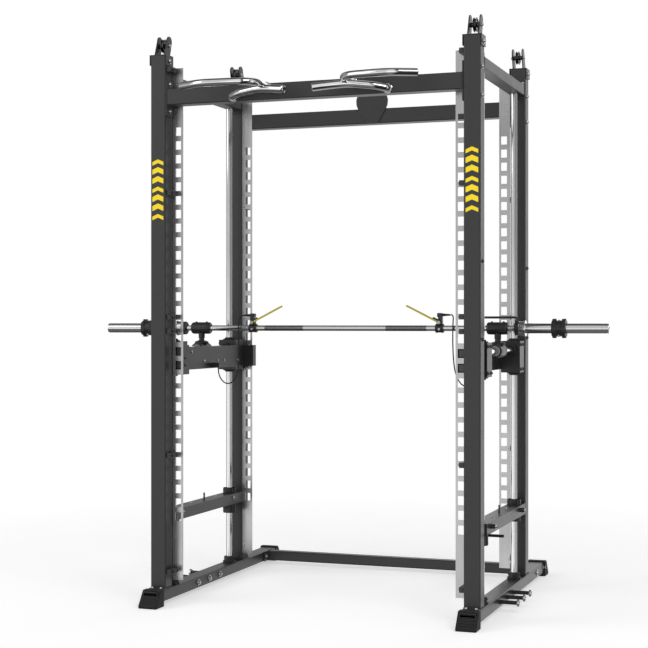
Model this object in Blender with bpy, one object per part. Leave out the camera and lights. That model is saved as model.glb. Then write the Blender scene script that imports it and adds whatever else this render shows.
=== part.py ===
"""Smith machine: a free-standing rack with a bar on vertical and horizontal guide rods.

Run with: blender --background --python part.py
X runs along the bar, +Y from the front uprights to the rear ones, +Z up; metres.
Heights are above the floor. Depths are measured from the front face of the front uprights,
and the empty "machine" then moves everything so that the footprint is centred on the origin.
"""
import math

import bmesh
import bpy
from mathutils import Matrix, Vector

# ---------------------------------------------------------------- driving dimensions
GAP = 0.0003                # left between two pieces that touch
SLIDE_GAP = 0.001           # left between a sliding piece and its guide

# side frames
SIDE_X = 0.698              # centre plane of a side frame
SIDE_PITCH = 0.862          # front upright to rear upright, centre to centre
UPRIGHT_W = 0.070
UPRIGHT_TOP = 2.380
TUBE_WALL = 0.003
TUBE_CORNER = 0.006

# base
RAIL_Z = 0.018
RAIL_H = 0.050
RAIL_FRONT = -0.075         # rail end in front of the front uprights
RAIL_TAIL = 0.433           # rail behind the rear uprights' centre plane
FOOT_WALL = 0.008           # foot beside its rail
FOOT_L = 0.080
FOOT_H = 0.074
FOOT_SLOPE = 0.045
FOOT_GRIP = 0.050           # length of rail that a foot holds
BASE_PLATE = 0.006
BASE_PLATE_REACH = 0.024    # how far a base plate shows past its upright
FLOOR_BEAM_SETBACK = 0.308  # floor beam behind the rear uprights' centre plane
FLOOR_BEAM_W = 0.050
FLOOR_FLANGE_L = 0.146

# top
TOP_BEAM_DROP = 0.215       # underside of the top beams below the uprights' tops
TOP_BEAM_H = 0.070
TOP_BEAM_FLANGE_H = 0.163
SIDE_BEAM_DROP = 0.121
SIDE_BEAM_H = 0.048
FLANGE = 0.006
CROWN_T = 0.006

# slotted plates
PLATE_REACH = 0.051         # plate's free edge inside its side frame
PLATE_T = 0.004
PLATE_FOOT = 0.100
PLATE_DROP = 0.046          # plate's top below the uprights' tops
WINDOW_W = 0.027
WINDOW_H = 0.037
WINDOW_PITCH = 0.060
WINDOW_DROP = 0.304         # top window below the uprights' tops
WINDOW_LOWEST = 0.340       # no window reaches lower than this
WINDOW_INSET = 0.009        # plate edge to window
STANDOFF_W = 0.022
STANDOFF_H = 0.022
STANDOFF_L = 0.060
STANDOFF_ROWS = (5, 14, 15, 24)     # windows that the middle brackets stand above

# guide rods
GUIDE_D = 0.030
GUIDE_SETBACK = 0.082       # upright face to guide rod axis
COLLAR_D = 0.062
COLLAR_H = 0.030

# carriages, measured from the window that the upper pawl faces
REST_WINDOW = 16            # windows above that one
BLOCK_W = 0.073
BLOCK_L = 0.085
BLOCK_DROP = 0.098
BLOCK_RISE = 0.044
ROD_D = 0.028
ROD_RISE = 0.0045
SIDE_PLATE_T = 0.010
SIDE_PLATE_DROP = 0.083
SIDE_PLATE_RISE = 0.018
BUFFER_D = 0.046
BUFFER_L = 0.020
PAWL_W = 0.022
PAWL_H = 0.030
PAWL_L = 0.058
PAWL_REST = 0.002           # pawl tip behind its plate
SHOE_JAW = 0.015
SHOE_W = 0.034

# bar
BAR_OFFSET = 0.008          # bar in front of the middle between the guide rods
BAR_D = 0.025
BAR_RISE = 0.097            # bar axis above the cross rods
BAR_REACH = 0.478           # bar's end outside the side frame's centre plane
SLEEVE_OFFSET = 0.093       # sleeve's inner end, likewise
SLEEVE_D = 0.044
SLEEVE_FLANGE_D = 0.069
SLEEVE_FLANGE_L = 0.030
STOP_RING_D = 0.060
STOP_RING_L = 0.016
STEER_ROD_D = 0.010
STEER_ROD_RISE = 0.020      # steering rod above the housing
STEER_ROD_KNEE = 0.058      # start of the steering rod's straight end, inside the centre plane
STEER_ROD_REACH = 0.138     # steering rod's free end, likewise
CLIP_OFFSET = 0.174         # clip's middle outside the sleeve's inner end
CLIP_D = 0.083
CLIP_L = 0.060
HOUSING_D = 0.054
HOUSING_L = 0.092
POST_D = 0.028
DISC_D = 0.064
SLIDER_D = 0.060
SLIDER_L = 0.120

# bar levers
LEVER_INSET = 0.258         # lever clamp inside the side frame's centre plane
CLAMP_D = 0.040
CLAMP_L = 0.036
LEVER_PIVOT_RISE = 0.0255   # pivot above the bar axis
LEVER_REACH = (0.147, 0.0735)
LEVER_D = 0.008
PIVOT_D = 0.007
CABLE_D = 0.0055

# safety arms
ARM_H = 0.049
ARM_GAP = 0.042             # arm's front end behind the front upright
HANDLE_D = 0.013
HANDLE_L = 0.085

# pulleys and counterweights
PULLEY_D = 0.060
PULLEY_W = 0.014
AXLE_D = 0.010
PULLEY_RISE = 0.052         # pulley axis above the upright's top
FORK_W = 0.050
FORK_T = 0.005
FORK_CREST = 0.024
CAP_T = 0.005
CAP_SKIRT = 0.040
WEIGHT_W = 0.050
WEIGHT_L = 0.500
WEIGHT_Z = 1.050

# storage pegs and grips
PEG_PITCH = 0.121           # the middle peg is level with the middle between the guide rods
PEG_D = 0.017
PEG_L = 0.085
PEG_DISC_D = 0.030
PEG_DISC_L = 0.010
GRIP_D = 0.032

SIDES = (("left", -1), ("right", 1))

# ---------------------------------------------------------------- values that follow
SIDE_IN = SIDE_X - UPRIGHT_W / 2            # inner face of a side frame
SIDE_OUT = SIDE_X + UPRIGHT_W / 2
FRONT_BACK = UPRIGHT_W                      # rear face of the front uprights
REAR_FRONT = SIDE_PITCH                     # front face of the rear uprights
FRONT_Y = UPRIGHT_W / 2
REAR_Y = FRONT_Y + SIDE_PITCH
RAIL_TOP = RAIL_Z + RAIL_H
RAIL_REAR = REAR_Y + RAIL_TAIL
FOOT_W = UPRIGHT_W + 2 * FOOT_WALL
FLOOR_BEAM_Y = REAR_Y + FLOOR_BEAM_SETBACK
TOP_BEAM_Z = UPRIGHT_TOP - TOP_BEAM_DROP
SIDE_BEAM_Z = UPRIGHT_TOP - SIDE_BEAM_DROP
PLATE_EDGE = SIDE_IN - PLATE_REACH
PLATE_Z = (PLATE_FOOT, UPRIGHT_TOP - PLATE_DROP)
WINDOW_TOP = UPRIGHT_TOP - WINDOW_DROP
WINDOW_COUNT = 1 + int((WINDOW_TOP - WINDOW_H - WINDOW_LOWEST) / WINDOW_PITCH)
GUIDE_FRONT = FRONT_BACK + GUIDE_SETBACK
GUIDE_REAR = REAR_FRONT - GUIDE_SETBACK
GUIDE_MIDDLE = (GUIDE_FRONT + GUIDE_REAR) / 2
PEG_Y = (GUIDE_MIDDLE - PEG_PITCH, GUIDE_MIDDLE, GUIDE_MIDDLE + PEG_PITCH)
BAR_Y = GUIDE_MIDDLE - BAR_OFFSET
BAR_HALF = SIDE_X + BAR_REACH
SLEEVE_START = SIDE_X + SLEEVE_OFFSET
CLIP_X = SLEEVE_START + CLIP_OFFSET
LEVER_X = SIDE_X - LEVER_INSET
FRONT_PLATE = (FRONT_BACK + GAP, FRONT_BACK + GAP + PLATE_T)
REAR_PLATE = (REAR_FRONT - GAP - PLATE_T, REAR_FRONT - GAP)
CARRIAGE_Z = WINDOW_TOP - WINDOW_H / 2 - WINDOW_PITCH * REST_WINDOW
ROD_Z = CARRIAGE_Z + ROD_RISE
BAR_Z = ROD_Z + BAR_RISE
ARM_Z = WINDOW_TOP - WINDOW_H / 2 - WINDOW_PITCH * (WINDOW_COUNT - 1)
BLOCK_FRONT = (GUIDE_FRONT - BLOCK_L / 2, GUIDE_FRONT + BLOCK_L / 2)
BLOCK_REAR = (GUIDE_REAR - BLOCK_L / 2, GUIDE_REAR + BLOCK_L / 2)
PAWL_X = PLATE_EDGE + WINDOW_INSET + WINDOW_W / 2

FINISHES = {                                # colour, metallic, roughness
    "paint": ((0.055, 0.055, 0.058), 0.0, 0.42),
    "black": ((0.018, 0.018, 0.019), 0.0, 0.50),
    "rubber": ((0.014, 0.014, 0.014), 0.0, 0.75),
    "chrome": ((0.80, 0.80, 0.81), 1.0, 0.12),
    "plate": ((0.72, 0.72, 0.73), 1.0, 0.28),
    "steel": ((0.55, 0.55, 0.56), 1.0, 0.38),
    "iron": ((0.10, 0.10, 0.10), 0.6, 0.60),
    "yellow": ((0.62, 0.50, 0.06), 0.0, 0.40),
}


# ---------------------------------------------------------------- shape helpers
def span(side, near, far):
    """X range of a piece from its distances to the middle of the rack."""
    return tuple(sorted((side * near, side * far)))


def around(centre, width):
    """Range of the given width about a centre."""
    return (centre - width / 2, centre + width / 2)


def lift(axis, along, a, b):
    """Point from a position along an axis and its two other coordinates."""
    return {"X": (along, a, b), "Y": (a, along, b), "Z": (a, b, along)}[axis]


def slab(axis, outline, lo, hi, hole=None):
    """Extrude an outline along an axis; with a hole outline of as many points it is a tube."""
    bm = bmesh.new()
    rim = [bm.verts.new(lift(axis, lo, *p)) for p in outline]
    if hole is None:
        bm.faces.new(rim)
    else:
        bore = [bm.verts.new(lift(axis, lo, *p)) for p in hole]
        for i in range(len(rim)):
            j = (i + 1) % len(rim)
            bm.faces.new((rim[i], rim[j], bore[j], bore[i]))
    new = bmesh.ops.extrude_face_region(bm, geom=bm.faces[:])["geom"]
    move = Vector(lift(axis, hi - lo, 0, 0))
    bmesh.ops.translate(bm, vec=move, verts=[v for v in new if isinstance(v, bmesh.types.BMVert)])
    bmesh.ops.recalc_face_normals(bm, faces=bm.faces)
    return bm


def box(xs, ys, zs):
    """Block between three ranges."""
    return slab("Z", [(xs[0], ys[0]), (xs[1], ys[0]), (xs[1], ys[1]), (xs[0], ys[1])], *zs)


def round_rect(centre, width, height, radius, steps=1):
    """Outline of a rectangle whose corners are rounded in a few steps."""
    points = []
    for turn, (sx, sy) in enumerate(((1, 1), (-1, 1), (-1, -1), (1, -1))):
        cx = centre[0] + sx * (width / 2 - radius)
        cy = centre[1] + sy * (height / 2 - radius)
        for i in range(steps + 1):
            angle = (turn + i / steps) * math.pi / 2
            points.append((cx + radius * math.cos(angle), cy + radius * math.sin(angle)))
    return points


def tube(axis, centre, width, height, lo, hi, wall=TUBE_WALL):
    """Open rectangular tube."""
    outer = round_rect(centre, width, height, TUBE_CORNER)
    inner = round_rect(centre, width - 2 * wall, height - 2 * wall, TUBE_CORNER - wall)
    return slab(axis, outer, lo, hi, inner)


def lathe(axis, centre, profile, sides=16):
    """Turn a profile of (position along the axis, radius) about an axis.

    A profile that starts and ends on the axis gives a solid; any other is closed on itself.
    """
    bm = bmesh.new()
    verts = [bm.verts.new(lift(axis, p, centre[0] + r, centre[1])) for p, r in profile]
    edges = [bm.edges.new(pair) for pair in zip(verts, verts[1:])]
    if profile[0][1] > 0:
        edges.append(bm.edges.new((verts[-1], verts[0])))
    bmesh.ops.spin(bm, geom=verts + edges, cent=lift(axis, 0, *centre), axis=lift(axis, 1, 0, 0),
                   steps=sides, angle=math.tau, use_duplicate=False)
    bmesh.ops.remove_doubles(bm, verts=bm.verts, dist=0.00002)
    bmesh.ops.recalc_face_normals(bm, faces=bm.faces)
    return bm


def rod(axis, centre, diameter, lo, hi, sides=16):
    """Solid cylinder."""
    turns = [math.tau * (i + 0.5) / sides for i in range(sides)]
    outline = [(centre[0] + diameter / 2 * math.cos(a), centre[1] + diameter / 2 * math.sin(a))
               for a in turns]
    return slab(axis, outline, *sorted((lo, hi)))


def ring(axis, centre, outer, inner, lo, hi, sides=16):
    """Hollow cylinder."""
    turns = [math.tau * (i + 0.5) / sides for i in range(sides)]
    rim, bore = [[(centre[0] + d / 2 * math.cos(a), centre[1] + d / 2 * math.sin(a)) for a in turns]
                 for d in (outer, inner)]
    return slab(axis, rim, *sorted((lo, hi)), bore)


def bored(diameter, clearance, sides=16):
    """Diameter of a faceted bore whose flats clear a shaft of the given diameter."""
    return (diameter + 2 * clearance) / math.cos(math.pi / sides)


def side_profile(side, profile):
    """Profile along X, given by distances from the middle of the rack, for one side."""
    points = [(side * p, r) for p, r in profile]
    return points if side > 0 else points[::-1]


def smooth_path(points, step):
    """Points about a step apart on a smooth curve through the given ones."""
    chain = [Vector(p) for p in points]
    chain = [2 * chain[0] - chain[1]] + chain + [2 * chain[-1] - chain[-2]]
    path = []
    for a, b, c, d in zip(chain, chain[1:], chain[2:], chain[3:]):
        count = max(1, round((c - b).length / step))
        for i in range(count):
            t = i / count
            path.append(0.5 * (2 * b + (c - a) * t + (2 * a - 5 * b + 4 * c - d) * t * t
                               + (3 * b - a - 3 * c + d) * t ** 3))
    return path + [chain[-2]]


def curve_tube(points, diameter, resolution):
    """Curve object of a round tube through the points, with closed ends."""
    curve = bpy.data.curves.new("path", "CURVE")
    curve.dimensions = "3D"
    curve.bevel_depth = diameter / 2
    curve.bevel_resolution = resolution
    curve.use_fill_caps = True
    spline = curve.splines.new("POLY")
    spline.points.add(len(points) - 1)
    for target, point in zip(spline.points, points):
        target.co = (*point, 1.0)
    obj = bpy.data.objects.new("path", curve)
    bpy.context.collection.objects.link(obj)
    return obj


def evaluated(obj):
    """Mesh of an object with its modifiers, after which the object is gone."""
    bpy.context.view_layer.update()
    mesh = bpy.data.meshes.new_from_object(obj.evaluated_get(bpy.context.evaluated_depsgraph_get()))
    bm = bmesh.new()
    bm.from_mesh(mesh)
    bpy.data.meshes.remove(mesh)
    bpy.data.objects.remove(obj)
    return bm


def pipe(points, diameter):
    """Round tube shape through the points."""
    bm = evaluated(curve_tube(points, diameter, 3))
    bmesh.ops.remove_doubles(bm, verts=bm.verts, dist=0.00001)
    return bm


def scratch_object(bm):
    """Short-lived object that holds a shape."""
    mesh = bpy.data.meshes.new("scratch")
    bm.to_mesh(mesh)
    bm.free()
    obj = bpy.data.objects.new("scratch", mesh)
    bpy.context.collection.objects.link(obj)
    return obj


def combine(operation, base, tools):
    """Shape of the base after a Boolean with each tool in turn."""
    target = scratch_object(base)
    helpers = [scratch_object(tool) for tool in tools]
    for helper in helpers:
        modifier = target.modifiers.new("shape", "BOOLEAN")
        modifier.operation = operation
        modifier.solver = "EXACT"
        modifier.object = helper
    result = evaluated(target)
    for helper in helpers:
        bpy.data.objects.remove(helper)
    return result


def union(base, *tools):
    """One body made of overlapping shapes."""
    return combine("UNION", base, tools)


def cut(base, *tools):
    """Base with the tools taken away."""
    return combine("DIFFERENCE", base, tools)


def group(parts):
    """Separate bodies held in one shape."""
    whole = bmesh.new()
    for part in parts:
        mesh = bpy.data.meshes.new("part")
        part.to_mesh(mesh)
        part.free()
        whole.from_mesh(mesh)
        bpy.data.meshes.remove(mesh)
    return whole


def finish_material(name, finish):
    """Material of one piece."""
    colour, metallic, roughness = FINISHES[finish]
    material = bpy.data.materials.new(name)
    material.use_nodes = True
    shader = material.node_tree.nodes["Principled BSDF"]
    shader.inputs["Base Color"].default_value = (*colour, 1.0)
    shader.inputs["Metallic"].default_value = metallic
    shader.inputs["Roughness"].default_value = roughness
    return material


def piece(name, bm, finish, origin=(0, 0, 0)):
    """Named object with its own material, its origin on its joint's axis."""
    bmesh.ops.translate(bm, vec=-Vector(origin), verts=bm.verts)
    mesh = bpy.data.meshes.new(name)
    bm.to_mesh(mesh)
    bm.free()
    mesh.shade_smooth()
    mesh.set_sharp_from_angle(angle=math.radians(35))
    obj = bpy.data.objects.new(name, mesh)
    obj.location = origin
    obj.parent = bpy.data.objects["machine"]
    bpy.context.collection.objects.link(obj)
    mesh.materials.append(finish_material(name, finish))
    return obj


# ---------------------------------------------------------------- rack
def build_upright(name, side, place, y, way):
    """Hollow upright with its base plate and the brackets that carry its slotted plate.

    way is the direction, along Y, that leads out of the machine.
    """
    shape = tube("Z", (side * SIDE_X, y), UPRIGHT_W, UPRIGHT_W, RAIL_TOP + BASE_PLATE / 2, UPRIGHT_TOP)
    inner, outer = y - way * UPRIGHT_W / 2, y + way * UPRIGHT_W / 2
    extras = [box(span(side, SIDE_IN, SIDE_OUT), sorted((inner, outer + way * BASE_PLATE_REACH)),
                  (RAIL_TOP + GAP, RAIL_TOP + GAP + BASE_PLATE))]
    bridge = WINDOW_TOP + (WINDOW_PITCH - WINDOW_H) / 2
    heights = [PLATE_Z[1] - STANDOFF_H / 2, PLATE_Z[0] + STANDOFF_H * 2]
    heights += [bridge - row * WINDOW_PITCH for row in STANDOFF_ROWS]
    for z in heights:
        extras.append(box(span(side, SIDE_IN - STANDOFF_W, SIDE_IN + TUBE_WALL / 2),
                          sorted((inner, inner + way * STANDOFF_L)), around(z, STANDOFF_H)))
    piece(f"{place}_upright_{name}", union(shape, *extras), "paint")


def build_rail(name, side):
    """Floor rail with its welded storage pegs, each an arm with an end disc."""
    z = RAIL_Z + RAIL_H / 2
    rail = tube("Y", (side * SIDE_X, z), UPRIGHT_W, RAIL_H, RAIL_FRONT, RAIL_REAR)
    root, arm_end, tip = SIDE_OUT - TUBE_WALL / 2, SIDE_OUT + PEG_L - PEG_DISC_L, SIDE_OUT + PEG_L
    profile = [(root, 0), (root, PEG_D / 2), (arm_end, PEG_D / 2), (arm_end, PEG_DISC_D / 2),
               (tip, PEG_DISC_D / 2), (tip, 0)]
    pegs = [lathe("X", (y, z), side_profile(side, profile), 10) for y in PEG_Y]
    piece(f"base_rail_{name}", union(rail, *pegs), "paint")


def build_foot(name, side, place, end, way):
    """Rubber end cap whose outer face slopes; way is the direction that the rail points in there."""
    tip = end + way * (FOOT_L - FOOT_GRIP)
    inner = end - way * FOOT_GRIP
    outline = [(inner, 0), (tip, 0), (tip, 0.012), (tip - way * FOOT_SLOPE, FOOT_H), (inner, FOOT_H)]
    body = slab("X", outline, *span(side, SIDE_X - FOOT_W / 2, SIDE_X + FOOT_W / 2))
    section = round_rect((side * SIDE_X, RAIL_Z + RAIL_H / 2), UPRIGHT_W + 2 * GAP, RAIL_H + 2 * GAP,
                         TUBE_CORNER)
    pocket = slab("Y", section, *sorted((end + way * GAP, inner - way * 0.01)))
    piece(f"foot_{place}_{name}", cut(body, pocket), "rubber")


def flanged_tube(axis, centre, width, height, reach, flanges):
    """Tube between two ranges of its axis that is welded to open flange plates at both ends."""
    body = slab(axis, round_rect(centre, width, height, TUBE_CORNER), *reach)
    inside = round_rect(centre, width - 2 * TUBE_WALL, height - 2 * TUBE_WALL, TUBE_CORNER - TUBE_WALL)
    bore = slab(axis, inside, reach[0] - 0.01, reach[1] + 0.01)
    return cut(union(body, *flanges), bore)


def build_cross_beams():
    """Beams that join the two sides: one on the floor and two at the top."""
    half = SIDE_IN - GAP
    z = RAIL_Z + RAIL_H / 2
    ends = [span(side, half - FLANGE, half) for _, side in SIDES]
    flanges = [box(xs, around(FLOOR_BEAM_Y, FLOOR_FLANGE_L), (RAIL_Z, RAIL_TOP)) for xs in ends]
    shape = flanged_tube("X", (FLOOR_BEAM_Y, z), FLOOR_BEAM_W, RAIL_H - 0.002, (-half, half), flanges)
    piece("floor_cross_beam", shape, "paint")
    z = TOP_BEAM_Z + TOP_BEAM_H / 2
    half_outline = [(0.070, 0.132), (0.078, 0.110), (0.076, 0.085), (0.067, 0.064), (0.050, 0.040),
                    (0.036, 0.012), (0.024, -0.002)]
    outline = [(x, TOP_BEAM_Z + dz) for x, dz in half_outline]
    outline += [(-x, TOP_BEAM_Z + dz) for x, dz in reversed(half_outline)]
    crown = slab("Y", outline, REAR_FRONT - CROWN_T, REAR_FRONT + TUBE_WALL / 2)
    for place, y, extras in (("front", FRONT_Y, []), ("rear", REAR_Y, [crown])):
        flanges = [box(xs, around(y, UPRIGHT_W - 0.002), around(z, TOP_BEAM_FLANGE_H)) for xs in ends]
        shape = flanged_tube("X", (y, z), UPRIGHT_W, TOP_BEAM_H, (-half, half), flanges + extras)
        piece(f"{place}_top_beam", shape, "paint")


def build_side_beam(name, side):
    """Top beam of one side, between its two uprights."""
    z = SIDE_BEAM_Z + SIDE_BEAM_H / 2
    reach = (FRONT_BACK + GAP, REAR_FRONT - GAP)
    flanges = [box(around(side * SIDE_X, UPRIGHT_W - 0.002), ys, around(z, SIDE_BEAM_H + 0.030))
               for ys in ((reach[0], reach[0] + FLANGE), (reach[1] - FLANGE, reach[1]))]
    shape = flanged_tube("Y", (side * SIDE_X, z), UPRIGHT_W - 0.004, SIDE_BEAM_H, reach, flanges)
    piece(f"top_side_beam_{name}", shape, "paint")


def build_slotted_plates(name, side):
    """Front and rear slotted plates of one side."""
    for place, ys in (("front", FRONT_PLATE), ("rear", REAR_PLATE)):
        plate = box(span(side, PLATE_EDGE, SIDE_IN - GAP), ys, PLATE_Z)
        windows = []
        for row in range(WINDOW_COUNT):
            top = WINDOW_TOP - WINDOW_PITCH * row
            xs = span(side, PAWL_X - WINDOW_W / 2, PAWL_X + WINDOW_W / 2)
            windows.append(box(xs, (ys[0] - 0.01, ys[1] + 0.01), (top - WINDOW_H, top)))
        piece(f"slotted_plate_{place}_{name}", cut(plate, group(windows)), "plate")


def build_guide_rods(name, side):
    """Vertical guide rods of one side, each with the collar at its foot."""
    foot, head, collar = RAIL_TOP + GAP, SIDE_BEAM_Z - GAP, RAIL_TOP + GAP + COLLAR_H
    profile = [(foot, 0), (foot, COLLAR_D / 2), (collar, COLLAR_D / 2), (collar, GUIDE_D / 2),
               (head, GUIDE_D / 2), (head, 0)]
    for place, y in (("front", GUIDE_FRONT), ("rear", GUIDE_REAR)):
        piece(f"guide_rod_{place}_{name}", lathe("Z", (side * SIDE_X, y), profile), "chrome")


def build_grip(name, side):
    """Pair of welded pull-up tubes; both stand on the front face of the beam."""
    root = -GAP - 0.0001
    wide = [(0.191, root, 0.053), (0.191, -0.040, 0.053), (0.186, -0.110, 0.056), (0.225, -0.160, 0.055),
            (0.310, -0.188, 0.052), (0.385, -0.205, 0.050), (0.430, -0.192, 0.051), (0.512, -0.150, 0.052)]
    narrow = [(0.343, root, 0.019), (0.343, -0.016, 0.019), (0.300, -0.044, 0.027), (0.200, -0.080, 0.035),
              (0.130, -0.105, 0.028), (0.064, -0.133, 0.018)]
    tubes = [pipe(smooth_path([(side * x, y, TOP_BEAM_Z + z) for x, y, z in route], 0.040), GRIP_D)
             for route in (wide, narrow)]
    piece(f"pull_up_grip_{name}", union(*tubes), "chrome")


def build_pulley(name, side, place, y, inward):
    """Bracket over the top of an upright, its pulley, and the counterweight inside the upright."""
    near, far = SIDE_IN - GAP - CAP_T, SIDE_OUT + GAP + CAP_T
    hem = UPRIGHT_TOP - CAP_SKIRT
    top = UPRIGHT_TOP + GAP + CAP_T
    outline = [(side * x, z) for x, z in (
        (near, hem), (near, top), (far, top), (far, hem), (SIDE_OUT + GAP, hem),
        (SIDE_OUT + GAP, UPRIGHT_TOP + GAP), (SIDE_IN - GAP, UPRIGHT_TOP + GAP), (SIDE_IN - GAP, hem))]
    saddle = slab("Y", outline, *around(y, UPRIGHT_W))
    axis_y, axis_z = y + inward * PULLEY_D / 2, UPRIGHT_TOP + PULLEY_RISE
    cheek = [(y - inward * 0.020, top - 0.002), (y + inward * 0.033, top - 0.002)]
    cheek += [(axis_y + inward * FORK_CREST * math.cos(a), axis_z + 0.018 + FORK_CREST * math.sin(a))
              for a in (math.pi * i / 6 for i in range(7))]
    cheeks = [slab("X", cheek, *span(side, x, x + FORK_T))
              for x in (SIDE_X - FORK_W / 2, SIDE_X + FORK_W / 2 - FORK_T)]
    axle = rod("X", (axis_y, axis_z), AXLE_D, *around(side * SIDE_X, FORK_W - 0.002), 12)
    piece(f"pulley_bracket_{place}_{name}", union(saddle, *cheeks, axle), "black")
    hub = FORK_W / 2 - FORK_T - SLIDE_GAP
    rim, bore = PULLEY_D / 2, bored(AXLE_D, 0.0004, 12) / 2
    profile = [(-hub, bore), (-hub, AXLE_D), (-PULLEY_W / 2, AXLE_D), (-PULLEY_W / 2, rim),
               (0, rim - 0.004), (PULLEY_W / 2, rim), (PULLEY_W / 2, AXLE_D), (hub, AXLE_D), (hub, bore)]
    wheel = lathe("X", (axis_y, axis_z), [(side * SIDE_X + p, r) for p, r in profile], 12)
    piece(f"pulley_{place}_{name}", wheel, "steel", (side * SIDE_X, axis_y, axis_z))
    weight = box(around(side * SIDE_X, WEIGHT_W), around(y, WEIGHT_W), (WEIGHT_Z, WEIGHT_Z + WEIGHT_L))
    piece(f"counterweight_{place}_{name}", weight, "iron", (side * SIDE_X, y, WEIGHT_Z))


def build_rack(name, side):
    """Everything that stands still on one side."""
    build_rail(name, side)
    build_side_beam(name, side)
    build_slotted_plates(name, side)
    build_guide_rods(name, side)
    build_grip(name, side)
    build_foot(name, side, "front", RAIL_FRONT, -1)
    build_foot(name, side, "rear", RAIL_REAR, 1)
    for place, y, way in (("front", FRONT_Y, -1), ("rear", REAR_Y, 1)):
        build_upright(name, side, place, y, way)
        build_pulley(name, side, place, y, -way)


# ---------------------------------------------------------------- carriages
def build_carriage(name, side):
    """Bearing blocks, side plate, pawl guide and rear shoe of one side, with its rod and buffers."""
    low, high = CARRIAGE_Z - BLOCK_DROP, CARRIAGE_Z + BLOCK_RISE
    plate_out = SIDE_X - BLOCK_W / 2 - 0.0115
    plate_in = plate_out - SIDE_PLATE_T
    blocks = [box(span(side, plate_out - 0.002, SIDE_X + BLOCK_W / 2), ys, (low, high))
              for ys in (BLOCK_FRONT, BLOCK_REAR)]
    plate_z = (CARRIAGE_Z - SIDE_PLATE_DROP, CARRIAGE_Z + SIDE_PLATE_RISE)
    guide_ys = (FRONT_PLATE[1] + 0.008, BLOCK_FRONT[0] + 0.040)
    jaw_front = (REAR_PLATE[0] - SLIDE_GAP - SHOE_JAW, REAR_PLATE[0] - SLIDE_GAP)
    jaw_rear = (REAR_PLATE[1] + SLIDE_GAP, REAR_PLATE[1] + SLIDE_GAP + SHOE_JAW)
    shoe_in = PLATE_EDGE - SLIDE_GAP - 0.011
    side_plate = box(span(side, plate_in, plate_out), (guide_ys[1] - 0.010, jaw_front[1]), plate_z)
    guide = box(span(side, PAWL_X - PAWL_W / 2 - 0.0055, plate_out + 0.001), guide_ys,
                (low - 0.003, CARRIAGE_Z + PAWL_H / 2 + 0.013))
    shoe = [box(span(side, shoe_in, plate_in + 0.004), jaw_front, plate_z),
            box(span(side, shoe_in, shoe_in + SHOE_W), jaw_rear, plate_z),
            box(span(side, shoe_in, PLATE_EDGE - SLIDE_GAP), (jaw_front[0], jaw_rear[1]), plate_z)]
    gland = box(span(side, plate_in - 0.034, plate_in + 0.002), around(BAR_Y, 0.024),
                (plate_z[0] + 0.003, plate_z[0] + 0.025))
    buffers = [ring("Y", (side * SIDE_X, ROD_Z), BUFFER_D, bored(ROD_D, GAP), face - way * 0.002,
                    face + way * BUFFER_L)
               for face, way in ((BLOCK_FRONT[1], 1), (BLOCK_REAR[0], -1))]
    body = union(blocks[0], blocks[1], side_plate, guide, *shoe, gland, *buffers)
    bores = [rod("Z", (side * SIDE_X, y), bored(GUIDE_D, 0.0005), low - 0.01, high + 0.01)
             for y in (GUIDE_FRONT, GUIDE_REAR)]
    channels = [box(span(side, PAWL_X - PAWL_W / 2 - 0.0005, PAWL_X + PAWL_W / 2 + 0.0005),
                    (guide_ys[0] - 0.01, guide_ys[1] - 0.010),
                    around(z, PAWL_H + 0.001)) for z in pawl_heights()]
    slot = box(span(side, PAWL_X - PAWL_W / 2 - 0.0005, PAWL_X + PAWL_W / 2 + 0.0005),
               (guide_ys[0] + 0.008, guide_ys[1] - 0.010),
               (CARRIAGE_Z - WINDOW_PITCH, CARRIAGE_Z))
    piece(f"carriage_{name}", cut(body, group(bores), *channels, slot), "black", (0, 0, CARRIAGE_Z))
    shape = rod("Y", (side * SIDE_X, ROD_Z), ROD_D, BLOCK_FRONT[1] + GAP, BLOCK_REAR[0] - GAP)
    piece(f"cross_rod_{name}", shape, "chrome", (side * SIDE_X, BLOCK_FRONT[1], ROD_Z))


def pawl_heights():
    """Heights of the upper and the lower pawl."""
    return (CARRIAGE_Z, CARRIAGE_Z - WINDOW_PITCH)


def build_pawls(name, side):
    """Two locking pawls on one carrier that slides forward into the windows of the front plate."""
    tip = FRONT_PLATE[1] + PAWL_REST
    xs = span(side, PAWL_X - PAWL_W / 2, PAWL_X + PAWL_W / 2)
    tines = [box(xs, (tip, tip + PAWL_L), around(z, PAWL_H)) for z in pawl_heights()]
    carrier = box(xs, (tip + PAWL_L - 0.010, tip + PAWL_L), (pawl_heights()[1], pawl_heights()[0]))
    piece(f"pawls_{name}", union(carrier, *tines), "steel", (side * PAWL_X, tip, CARRIAGE_Z))


# ---------------------------------------------------------------- bar
def build_shaft():
    """Bar shaft with a stop ring inside each sleeve; the right ring carries a bent steering rod."""
    half, end = BAR_HALF - 0.018, SLEEVE_START - SLIDE_GAP
    start = end - STOP_RING_L
    profile = [(-half, 0), (-half, BAR_D / 2), (-end, BAR_D / 2), (-end, STOP_RING_D / 2),
               (-start, STOP_RING_D / 2), (-start, BAR_D / 2)]
    profile += [(-p, r) for p, r in reversed(profile)]
    over = BAR_Z + HOUSING_D / 2 + STEER_ROD_RISE
    middle = (start + end) / 2
    route = [(middle, BAR_Z + 0.020), (middle, over - 0.010), (middle - 0.003, over - 0.003),
             (middle - 0.010, over), (SIDE_X - STEER_ROD_KNEE, over),
             (SIDE_X - STEER_ROD_REACH, over)]
    steer = pipe([Vector((x, BAR_Y, z)) for x, z in route], STEER_ROD_D)
    shape = union(lathe("X", (BAR_Y, BAR_Z), profile), steer)
    piece("bar_shaft", shape, "chrome", (0, BAR_Y, BAR_Z))


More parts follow.
